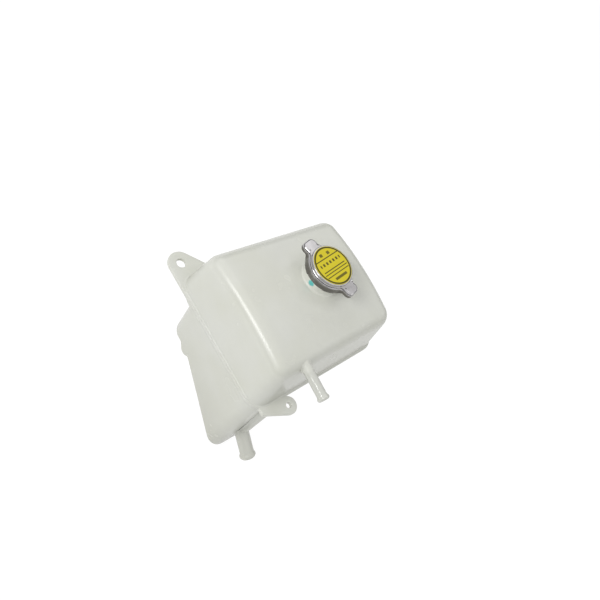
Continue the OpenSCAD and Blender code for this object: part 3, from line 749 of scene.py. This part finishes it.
def plate(outline, hole_centre, hole_r, low, high, edge=LUG_EDGE, hole_edge=0.5):
    """A flat plate with a round hole. Its edges are quarter circles at the top and at the bottom."""
    def level(plan, z):
        return np.column_stack([plan, np.full(len(plan), z)])

    spoke = outline - hole_centre
    spoke /= np.linalg.norm(spoke, axis=1, keepdims=True)
    arcs = np.linspace(0, np.pi / 2, 5)
    rings = [level(drawn_in(outline, edge * (1 - np.cos(a))), high - edge * (1 - np.sin(a))) for a in arcs]
    rings += [level(hole_centre + spoke * (hole_r + hole_edge * (1 - np.sin(a))), high - hole_edge * (1 - np.cos(a)))
              for a in arcs]
    rings += [level(hole_centre + spoke * (hole_r + hole_edge * (1 - np.cos(a))), low + hole_edge * (1 - np.sin(a)))
              for a in arcs]
    rings += [level(drawn_in(outline, edge * (1 - np.sin(a))), low + edge * (1 - np.cos(a))) for a in arcs]
    return belt(np.array(rings))


def lugs():
    """The upper lug round the origin, and the lower lug on the spigot side, both in the plane of the flange."""
    near_y = DECK[1] - FLARE - FLANGE_W
    left = DECK[0] - FLARE
    upper = hull_outline(np.zeros(2), LUG_R, [(left + CORNER_R_LOW, near_y), (left + CORNER_R_LOW, near_y + LUG_ROOT),
                                             (left, near_y + LUG_ROOT)])
    ear = np.array([end_wall_x(0.0) + FLANGE_W + EAR_OUT, EAR_Y]) + DECK[:2]
    inner_x = ear[0] - EAR_OUT - EAR_R
    outer_x = inner_x + EAR_R + EAR_ROOT_OUT
    lower = hull_outline(ear, EAR_R, [(inner_x, DECK[1] + EAR_ROOT_L), (inner_x, DECK[1]), (outer_x, DECK[1])])
    return [plate(upper, np.zeros(2), LUG_HOLE_R, 0.0, LUG_T), plate(lower, ear, EAR_HOLE_R, 0.0, LUG_T)]


OUTLET_Y = -FLARE + SUMP_W / 2
END_LOW_X = DECK_L + SUMP_OUT
OUTLET_FLOOR = -FLOOR - SUMP_D - (SUMP_OUT + DECK_L - SUMP_X - SLOPE_X) * np.tan(SUMP_SLOPE)
OUTLET_Z = OUTLET_FLOOR + OUTLET_UP
RIB_SPREAD = 4.0


def rib():
    """The rib in the outlet's plane, as an outline of (x, z) points carried through its thickness, which grows
    towards the wall."""
    top_x = end_wall_x(OUTLET_Y)
    outline = dense([(top_x - 1, -FLOOR - 1), (END_LOW_X - 1, OUTLET_Z), (END_LOW_X + RIB_OUT / 2, OUTLET_Z),
                     (END_LOW_X + RIB_OUT, OUTLET_Z + OUTLET_D / 2),
                     (top_x + FLANGE_W + EAR_ROOT_OUT, -FLOOR - 1)])
    edge = 0.8
    arcs = np.linspace(0, np.pi / 2, 5)
    half = RIB_T / 2
    sides = [(drawn_in(outline, edge * (1 - np.sin(a))), -half + edge * (1 - np.cos(a))) for a in arcs]
    sides += [(drawn_in(outline, edge * (1 - np.cos(a))), half - edge * (1 - np.sin(a))) for a in arcs]
    rings = []
    for plan, y in sides:
        out = plan[:, 0] - sump_end_wall(OUTLET_Y, plan[:, 1])
        spread = 1 + RIB_SPREAD * np.clip(1 - out / RIB_OUT, 0, 1)
        rings.append(np.column_stack([plan[:, 0], OUTLET_Y + y * spread, plan[:, 1]]))
    return pot(np.array(rings) + DECK)


def sump_end_wall(y, z):
    """Place along X of the sump's end wall, which leans out from its mouth to its floor."""
    top = -FLOOR - PAN_D - PAN_FALL
    bottom = OUTLET_FLOOR + SUMP_EDGE_R
    share = np.clip((top - z) / (top - bottom), 0, 1)
    return end_wall_x(y) + (END_LOW_X - end_wall_x(y)) * share


def outlet():
    """The large spigot on the sump's end wall."""
    root = np.array([END_LOW_X, OUTLET_Y, OUTLET_Z])
    return spigot(root, OUTLET_SLOPE, OUTLET_D, OUTLET_BORE_D, OUTLET_BEAD_D, OUTLET_L, 2.5, sump_end_wall)


print("the outlet leaves the sump", round(-OUTLET_Z, 1), "mm below the deck")

# %% [markdown]
# ## Natural polypropylene
# The plastic has no pigment. Light that enters it spreads and some leaves on the other side, so a lug held over
# a white floor glows a little. A Translucent shader, mixed in by a fixed share, does that for a thin wall and
# costs far less than true scattering. The colour drifts a little between a greenish and a warmer grey-white,
# the skin has a faint grain, and an inspector's dot of cyan paint sits on the neck under the cap's skirt.
# Painted shade darkens the colour towards the bottom and on the small spigot, and painted light makes it
# lighter round the neck.

# %% Natural polypropylene
PAINT_DOT = NECK_AXIS * MM + np.array([0.0033, -0.0184, 0.0050])
PAINT_DOT_R = 0.0030


def plastic_finish():
    """Satin milky plastic: colour by a slow noise, a painted shade towards the bottom, a painted light round the neck,
    a painted shade and less roughness on the small spigot, a fine grain, and one ragged dot of paint.
    """
    made = Finish("natural_polypropylene", Specular_IOR_Level=0.6)
    drift = made.noise(0.05, 3.0)
    tone = drift.smooth(0.3, 0.7).blend(paint(212, 213, 203), paint(216, 217, 210))
    # Painted shade: the colour darkens towards the bottom of the sump.
    depth = made.axis("Z").smooth(-0.02, -0.115) * 0.5
    tone = depth.blend(tone, paint(193, 193, 183))
    # Painted light: the colour turns lighter round the neck, where the cap shades it.
    painted_neck_light = made.distance((NECK_AXIS * MM).tolist()).smooth(0.047, 0.020) * 0.8
    tone = painted_neck_light.blend(tone, paint(234, 235, 226))
    ragged = made.distance(PAINT_DOT.tolist()) + 0.0014 * (made.noise(0.0018) - 0.5)
    dot = ragged.smooth(PAINT_DOT_R * 1.2, PAINT_DOT_R * 0.7)
    # The small spigot: less roughness, and a painted shade that darkens its colour.
    glossy = made.axis("X").smooth(0.146, 0.149) * made.axis("Z").smooth(0.034, 0.038)
    tone = (0.3 * glossy).blend(tone, paint(188, 189, 182))
    made.set(Base_Color=dot.blend(tone, paint(92, 200, 197)))
    made.set(Roughness=0.22 + 0.08 * made.noise(0.02) - 0.20 * glossy)
    waves = 0.65 * made.noise(0.025, 0.0) + 0.3 * made.noise(0.006, 0.0)
    made.bump(waves + 0.05 * made.noise(0.0012, 3.0), 0.0003)
    made.thin(0.15, paint(236, 236, 226))
    return made.material


PLASTIC = plastic_finish()
print("plastic nodes:", len(PLASTIC.node_tree.nodes))

# %% [markdown]
# ## The two mouldings
# Each half of the tank is one moulding, so it is one piece here too, and stands for its node of the frame.

# %% Mouldings
upper = piece("upper_moulding", [upper_box_skin, neck_skin(), *cams(), return_spigot()], "tank",
              PLASTIC)
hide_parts("upper_shell")
lower = piece("lower_moulding", [pan_skin, *lugs(), rib(), outlet()], "tank", PLASTIC)
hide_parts("lower_shell")

# %% [markdown]
# ## The pressed cap
# The cap is one pressing of thin bright steel: a raised top that carries the label, a long round shoulder, a
# skirt, two grips with turned-down edges and two claws bent in under the cams. The outline of the skirt is a
# circle that runs in a hollow curve on to each grip. Every ring of the sheet has the same points as that
# outline, so a profile can be drawn once and take its depth from a list with one value for each point.

# %% Cap outline
CAP_R, TOP_R, TOP_H, RIM_GAP = 22.3, 20.8, 2.1, 2.0
GRIP_REACH, GRIP_W, GRIP_DROP, GRIP_CORNER_R, GRIP_BLEND_R = 31.8, 16.0, 5.5, 5.5, 6.0
CAP_UNDER = RIM_H + RIM_GAP
CAP_TOP = CAP_UNDER + CAP_T
SHOULDER = CAP_TOP - TOP_H
SHOULDER_R, SHOULDER_DEPTH, TOP_EDGE_R = 1.4, 4.2, 0.9
GRIP_EDGE_R, GRIP_EDGE_DEPTH = 2.3, 2.6


def arc(centre, radius, start, end, steps):
    """Points of an arc in the plan, from one angle to another."""
    angle = np.linspace(start, end, steps + 1)
    return np.column_stack([centre[0] + radius * np.cos(angle), centre[1] + radius * np.sin(angle)])


def cap_outline(inset):
    """The skirt's outline drawn in by an inset. A quarter of it holds the grip's end, its corner, the hollow
    blend and the skirt's own circle, and is mirrored twice. Arcs keep their centres and change their radii."""
    half = GRIP_W / 2
    corner = (GRIP_REACH - GRIP_CORNER_R, half - GRIP_CORNER_R)
    blend_y = half + GRIP_BLEND_R
    blend_x = np.sqrt((CAP_R + GRIP_BLEND_R) ** 2 - blend_y ** 2)
    meet = np.arctan2(blend_y, blend_x)
    end = np.column_stack([np.full(3, GRIP_REACH - inset), np.linspace(0, corner[1], 4)[:3]])
    quarter_turn = np.vstack([
        end, arc(corner, GRIP_CORNER_R - inset, 0, np.pi / 2, 10),
        arc((blend_x, blend_y), GRIP_BLEND_R + inset, -np.pi / 2, meet - np.pi, 14),
        arc((0, 0), CAP_R - inset, meet, np.pi / 2, 24)[1:]])
    half_turn = np.vstack([quarter_turn, (quarter_turn * (-1, 1))[::-1][1:]])
    return np.vstack([half_turn, (half_turn * (1, -1))[::-1][1:-1]])


RIM = cap_outline(0.0)
REACH = np.linalg.norm(RIM, axis=1)
SPOKE = RIM / REACH[:, None]
ON_GRIP = np.clip((REACH - CAP_R) / 3.0, 0, 1)
ON_GRIP = ON_GRIP ** 2 * (3 - 2 * ON_GRIP)
CLAW_AT = np.abs(np.abs(np.arctan2(RIM[:, 1], RIM[:, 0])) - np.pi / 2) <= CLAW_SPAN / 2
print("cap outline:", len(RIM), "points,", int(CLAW_AT.sum()), "of them on the claws")

# %% [markdown]
# The sheet is made as one face with no thickness, from the middle of the top out to the lower edge, and the
# Solidify modifier grows its 0.8 mm inwards. The claws are the same sheet carried round a small bend and in
# under the skirt, so their rings keep only the faces that lie on a claw.

# %% Cap sheet
CLAW_BEND = 0.8


def level(plan, z):
    """A ring of points at a height, or at one height for each point."""
    return np.column_stack([plan, np.broadcast_to(z, len(plan))])


def edge_plan(share):
    """The outline drawn in by a share of the round edge, which is wider on the grips than on the skirt. It stays
    outside the raised top."""
    narrow, wide = cap_outline(SHOULDER_R * share), cap_outline(GRIP_EDGE_R * share)
    plan = narrow + (wide - narrow) * ON_GRIP[:, None]
    clear = TOP_R + 0.15
    return np.where(np.linalg.norm(plan, axis=1)[:, None] > clear, plan, SPOKE * clear)


def cap_sheet():
    """Rings from the middle of the top down to the lower edge, then the rings of the claws."""
    quarter_turn = np.linspace(0, np.pi / 2, 7)
    edge_depth = SHOULDER_DEPTH + (GRIP_EDGE_DEPTH - SHOULDER_DEPTH) * ON_GRIP
    low_edge = CLAW_Z + (SHOULDER - GRIP_DROP - CLAW_Z) * ON_GRIP
    rings = [level(SPOKE * r, CAP_TOP) for r in (1.0, 7.0, 13.0, 17.0, TOP_R - TOP_EDGE_R - 0.5)]
    rings += [level(SPOKE * (TOP_R - TOP_EDGE_R * (1 - np.sin(a))), CAP_TOP - TOP_EDGE_R * (1 - np.cos(a)))
              for a in quarter_turn]
    foot = SPOKE * (TOP_R + 0.08)
    rings.append(level(foot, SHOULDER + 0.12))
    rings += [level(foot + (edge_plan(1.0) - foot) * s, SHOULDER) for s in (0.3, 0.65, 1.0)]
    rings += [level(edge_plan(1 - np.sin(a)), SHOULDER - edge_depth * (1 - np.cos(a))) for a in quarter_turn[1:]]
    top = SHOULDER - edge_depth
    foot_z = np.where(CLAW_AT, CLAW_Z + CLAW_BEND, low_edge)
    rings += [level(RIM, top + (foot_z - top) * s) for s in (0.25, 0.5, 0.75, 1.0)]
    claw = [level(SPOKE * (REACH - CLAW_BEND * (1 - np.cos(a)))[:, None], CLAW_Z + CLAW_BEND * (1 - np.sin(a)))
            for a in np.linspace(0, np.pi / 2, 5)[1:]]
    claw.append(level(SPOKE * (NECK_R + CLAW_GAP), CLAW_Z))
    return np.array(rings), np.array(claw)


def press_cap():
    """The sheet as one mesh. Faces between the claws' rings are kept only where both of their columns are on one."""
    sheet, claw = cap_sheet()
    spin = np.array([[np.cos(GRIP_TURN), np.sin(GRIP_TURN), 0], [-np.sin(GRIP_TURN), np.cos(GRIP_TURN), 0], [0, 0, 1]])
    count, points = sheet.shape[:2]
    everything = np.concatenate([sheet, claw]).reshape(-1, 3)
    everything = np.vstack([everything, [[0, 0, CAP_TOP]]]) @ spin + NECK_AXIS
    on_claw = np.tile(CLAW_AT & np.roll(CLAW_AT, -1), len(claw))
    faces = [wall_faces(count, points)[:, ::-1],
             wall_faces(len(claw) + 1, points, (count - 1) * points)[on_claw][:, ::-1],
             pole_faces(points, 0, len(everything) - 1, False)]
    used = np.unique(np.concatenate([block.ravel() for block in faces]))
    place = np.full(len(everything), -1)
    place[used] = np.arange(len(used))
    return everything[used], [place[block] for block in faces]


sheet_points, sheet_faces = press_cap()
print("cap sheet:", len(sheet_points), "points")

# %% [markdown]
# ## Bright pressed steel
# The sheet is polished. Its reflections would be too clean without a slightly cloudy gloss from handling and
# the faint waviness that pressing leaves. Below the shoulder the skirt's colour is darker: a painted dark reflection.

# %% Cap metal


# Heights between which the skirt's painted dark reflection fades in.
SKIRT_SHADE_HIGH, SKIRT_SHADE_LOW = 0.0800, 0.0768


def cap_finish():
    """Polished steel with a cloudy gloss and a slight waviness, and a painted dark reflection that darkens the skirt's
    colour below the shoulder.
    """
    made = Finish("pressed_steel", Metallic=1.0)
    cloud = made.noise(0.012, 4.0)
    bright = cloud.smooth(0.35, 0.7).blend(paint(172, 170, 171), paint(190, 188, 189))
    # Painted dark reflection: the skirt's colour darkens below the shoulder.
    skirt = made.axis("Z").smooth(SKIRT_SHADE_HIGH, SKIRT_SHADE_LOW)
    made.set(Base_Color=(0.85 * skirt).blend(bright, paint(108, 105, 101)))
    made.set(Roughness=0.07 + 0.12 * cloud)
    made.bump(made.noise(0.008, 0.0), 0.00006)
    return made.material


CAP_METAL = cap_finish()
cap = open_piece("pressed_cap", sheet_points, sheet_faces, "cap", CAP_METAL)
sheet = cap.modifiers.new("sheet", "SOLIDIFY")
sheet.thickness = CAP_T * MM
sheet.offset = -1.0
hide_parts("cap_shell")

# %% [markdown]
# ## The label
# The label is a printed film. Its own solid is kept, and only its finish is drawn: a yellow ground, an olive
# ring just inside its edge, and plain rules and blocks where such a label has its print. Each mark is a mask
# from 0 to 1 made of distances, and the masks are added.

# %% Label
PRINT_TURN = np.radians(9.5)
RING_IN, RING_OUT = 0.0174, 0.0190
RULES = [(-8.8, 0.45, 15.5), (2.4, 0.45, 14.5), (5.0, 0.40, 15.5), (7.9, 0.40, 15.0)]
BLOCKS = [(-12.7, -4.7, 1.5, 1.8), (-12.2, 4.7, 1.5, 1.8), (11.9, 0.0, 1.2, 8.0)]
ROW = (-3.9, 1.4, 4.4, 1.1, 13.6)


def label_finish():
    """Printed film: masks for a ring, four rules, three blocks and a row of small blocks, over a yellow ground."""
    made = Finish("label_print", Specular_IOR_Level=0.3)
    centre = (NECK_AXIS * MM).tolist()
    down = made.axis("X", centre, PRINT_TURN)
    across = made.axis("Y", centre, PRINT_TURN)
    out = made.distance(centre, flat=True)

    def bar(u, half_u, v, half_v, soft=0.0002):
        """A soft-edged block at u down the print and v across it."""
        du = made.start.math("ABSOLUTE", down - u * MM)
        dv = made.start.math("ABSOLUTE", across - v * MM)
        return du.smooth(half_u * MM + soft, half_u * MM - soft) * dv.smooth(half_v * MM + soft, half_v * MM - soft)

    marks = out.smooth(RING_IN - 0.0002, RING_IN + 0.0002) * out.smooth(RING_OUT + 0.0002, RING_OUT - 0.0002)
    for u, half_u, half_v in RULES:
        marks = marks + bar(u, half_u, 0.0, half_v)
    for u, v, half_u, half_v in BLOCKS:
        marks = marks + 0.85 * bar(u, half_u, v, half_v)
    u, half_u, pitch, half_v, reach = ROW
    along = made.start.math("PINGPONG", across, pitch * MM / 2)
    blocks = along.smooth(half_v * MM + 0.0002, half_v * MM - 0.0002)
    marks = marks + 0.95 * blocks * bar(u, half_u, 0.0, reach)
    marks = made.start.math("MINIMUM", marks, 1.0)
    ground = made.noise(0.01, 2.0).blend(paint(199, 184, 26), paint(207, 192, 34))
    made.set(Base_Color=marks.blend(ground, paint(66, 60, 8)))
    made.set(Roughness=0.42 + 0.1 * made.noise(0.004))
    return made.material


def dress(name, material):
    """Gives a solid of the frame its finish."""
    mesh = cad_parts[name].data
    mesh.materials.clear()
    mesh.materials.append(material)


dress("cap_label", label_finish())
print("label marks:", len(RULES), "rules and", len(BLOCKS), "blocks")

# %% [markdown]
# ## Finishes inside the cap
# The spring, the discs and the valve are hidden while the cap is shut. Steel parts get a satin grain that
# runs round the cap's axis, the seal a matt black, and the small valve a turned brass.

# %% Finishes inside the cap


def steel_finish():
    """Satin steel: fine rings round the cap's axis bend the shading a little."""
    made = Finish("spring_steel", Metallic=1.0)
    cloud = made.noise(0.006, 3.0)
    rings = made.start.math("SINE", made.distance((NECK_AXIS * MM).tolist(), flat=True) * 30000.0)
    made.set(Base_Color=cloud.blend(paint(158, 158, 160), paint(190, 190, 192)))
    made.set(Roughness=0.26 + 0.14 * cloud)
    made.bump(rings, 0.000004)
    return made.material


def rubber_finish():
    """Matt black rubber with a dusty bloom."""
    made = Finish("seal_rubber")
    cloud = made.noise(0.004, 3.0)
    made.set(Base_Color=cloud.blend(paint(28, 28, 29), paint(52, 51, 50)))
    made.set(Roughness=0.65 + 0.2 * cloud)
    made.bump(made.noise(0.0006), 0.00002)
    return made.material


def brass_finish():
    """Turned brass: rings round the axis and a slight tarnish."""
    made = Finish("valve_brass", Metallic=1.0)
    cloud = made.noise(0.005, 3.0)
    rings = made.start.math("SINE", made.distance((NECK_AXIS * MM).tolist(), flat=True) * 24000.0)
    made.set(Base_Color=cloud.blend(paint(176, 140, 66), paint(214, 184, 104)))
    made.set(Roughness=0.22 + 0.16 * cloud)
    made.bump(rings, 0.000004)
    return made.material


STEEL = steel_finish()
for name in ("friction_disc", "spring_cage", "pressure_spring", "valve_plate", "seal_retainer", "vacuum_spring",
             "vacuum_clip"):
    dress(name, STEEL)
dress("cap_rivet", CAP_METAL)
dress("valve_seal", rubber_finish())
dress("vacuum_valve", brass_finish())
print("inner pieces dressed")

# %% [markdown]
# ## Springs
# Both springs are coils of round wire. Each is a piece of its own: the large one hangs from the cap's body,
# the small one from the pressure valve's.

# %% Springs
PLATE_TOP, CAGE_TOP, CLIP_LOW = 10.6, 19.7, 14.2


def coil(radius, wire, low, high, turns, steps=32, sides=12):
    """A coil of round wire on the neck's axis, between two heights above the deck."""
    share = np.linspace(0, 1, int(turns * steps) + 1)[:, None]
    around = np.linspace(0, 2 * np.pi, sides, endpoint=False)[None, :]
    turn = 2 * np.pi * turns * share
    slant = np.arctan((high - low - wire) / (2 * np.pi * radius * turns))
    out = radius + wire / 2 * np.cos(around)
    rise = wire / 2 * np.sin(around)
    x = out * np.cos(turn) + rise * np.sin(slant) * np.sin(turn)
    y = out * np.sin(turn) - rise * np.sin(slant) * np.cos(turn)
    z = low + wire / 2 + (high - low - wire) * share + rise * np.cos(slant)
    return pot(np.stack([x, y, z], -1) + NECK_AXIS)


large = piece("large_coil", [coil(7.45, 1.1, PLATE_TOP, CAGE_TOP, 4)], "cap", STEEL)
small = piece("small_coil", [coil(3.0, 0.4, PLATE_TOP, CLIP_LOW, 4)], "pressure_valve", STEEL)
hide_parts("pressure_spring")
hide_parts("vacuum_spring")
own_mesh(large)
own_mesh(small)

# %% [markdown]
# ## Stage
# The tank lies on a white sweep in the picture, with no shadow that the eye notices. The floor shows white to
# the camera and to reflections and stays a plain white surface to all other light, which is what Light Path
# is for: its rays say what kind they are. A small part of its plain shade is kept, so a faint shadow is left.
# A dark band stands round the table for the metal and the gloss to reflect, out of the picture.

# %% Stage
FLOOR_Z = -0.1192
BAND_R, BAND_LOW, BAND_HIGH = 1.7, -0.1, 0.7


def sheet_object(name, points, faces, material):
    """A stage object from points in metres."""
    mesh = bpy.data.meshes.new(name)
    mesh.from_pydata(points, [], faces)
    mesh.materials.append(material)
    made = bpy.data.objects.new(name, mesh)
    bpy.context.scene.collection.objects.link(made)
    return made


def seen_rays(start):
    """1 for rays from the camera and for those that a reflection or a clear piece passes on, and otherwise 0."""
    path = start.node("ShaderNodeLightPath").socket.node.outputs
    kinds = [Wire(start.tree, path[name]) for name in ("Is Camera Ray", "Is Glossy Ray", "Is Transmission Ray")]
    return start.math("MAXIMUM", start.math("MAXIMUM", kinds[0], kinds[1]), kinds[2])


def floor_finish():
    """White light for camera, glossy and transmission rays, plus a share of the plain shade; plain for the rest."""
    material = bpy.data.materials.new("white_floor")
    material.use_nodes = True
    tree = material.node_tree
    tree.nodes.clear()
    start = Wire(tree, None)
    shade = start.node("ShaderNodeBsdfDiffuse", None, {"Color": paint(240, 240, 238)})
    faint = start.node("ShaderNodeBsdfDiffuse", None, {"Color": (0.14, 0.14, 0.14, 1)})
    light = start.node("ShaderNodeEmission", None, {"Color": (1, 1, 1, 1), "Strength": 0.92})
    both = start.node("ShaderNodeAddShader", None, {0: faint, 1: light})
    mixed = start.node("ShaderNodeMixShader", None, {0: seen_rays(start), 1: shade, 2: both})
    tree.links.new(mixed.socket, tree.nodes.new("ShaderNodeOutputMaterial").inputs["Surface"])
    return material


def dark_finish():
    """Plain dark grey."""
    made = Finish("dark_band", Roughness=0.9)
    made.shader.inputs["Base Color"].default_value = paint(100, 100, 99)
    return made.material


sheet_object("floor", [(-3, -3, FLOOR_Z), (3, -3, FLOOR_Z), (3, 3, FLOOR_Z), (-3, 3, FLOOR_Z)], [(0, 1, 2, 3)],
             floor_finish())
turn_round = np.linspace(0, 2 * np.pi, 64, endpoint=False)
band_plan = BAND_R * np.column_stack([np.cos(turn_round), np.sin(turn_round)])
band_points = np.vstack([level(band_plan, BAND_LOW), level(band_plan, BAND_HIGH)])
band = sheet_object("dark_band", band_points.tolist(), wall_faces(2, 64).tolist(), dark_finish())
band.visible_camera = False
band.visible_diffuse = False
band.visible_shadow = False
print("stage: floor and band")

# %% [markdown]
# ## Lights
# One wide softbox stands close to the camera's left and a little lower. Its place was worked out from the
# white streak along the tank's near edge and from the line along the small spigot: the surface there must
# point half way between the camera and the light. The world gives the rest as an even white.

# %% Lights
WORLD_STRENGTH, WORLD_SEEN = 0.64, 0.95
BOX_AZIMUTH, BOX_ELEVATION, BOX_AWAY = np.radians(-104), np.radians(37), 1.0
BOX_SIZE = (0.46, 0.28)
BOX_POWER = 3.7
AIM = np.array([0.085, 0.07, 0.03])


def softbox(name, azimuth, elevation, away, size, power):
    """A rectangular area light that looks at the tank, with its long side level."""
    towards_box = np.array([np.cos(azimuth) * np.cos(elevation), np.sin(azimuth) * np.cos(elevation), np.sin(elevation)])
    data = bpy.data.lights.new(name, "AREA")
    data.shape = "RECTANGLE"
    data.size, data.size_y = size
    data.energy = power
    made = bpy.data.objects.new(name, data)
    bpy.context.scene.collection.objects.link(made)
    level_axis = np.cross([0, 0, 1], towards_box)
    level_axis /= np.linalg.norm(level_axis)
    axes = np.column_stack([level_axis, np.cross(towards_box, level_axis), towards_box])
    made.matrix_world = Matrix.Translation((AIM + away * towards_box).tolist()) @ Matrix(axes.tolist()).to_4x4()
    return made


softbox("softbox", BOX_AZIMUTH, BOX_ELEVATION, BOX_AWAY, BOX_SIZE, BOX_POWER)
softbox("strip", np.radians(-87), np.radians(46), 1.0, (0.2, 0.12), 0.9)
softbox("fill", np.radians(40), np.radians(20), 1.5, (1.2, 1.2), 2.8)
softbox("back", np.radians(150), np.radians(55), 1.2, (1.3, 1.3), 2.6)
world = bpy.data.worlds.new("world")
world.use_nodes = True
sky = Wire(world.node_tree, None)
seen = seen_rays(sky)
background = world.node_tree.nodes["Background"]
background.inputs["Color"].default_value = (1, 1, 1, 1)
strength = seen * (WORLD_SEEN - WORLD_STRENGTH) + WORLD_STRENGTH
world.node_tree.links.new(strength.socket, background.inputs["Strength"])
bpy.context.scene.world = world
bpy.context.scene.view_settings.view_transform = "Standard"
print("lights: one softbox and an even world")

# %% [markdown]
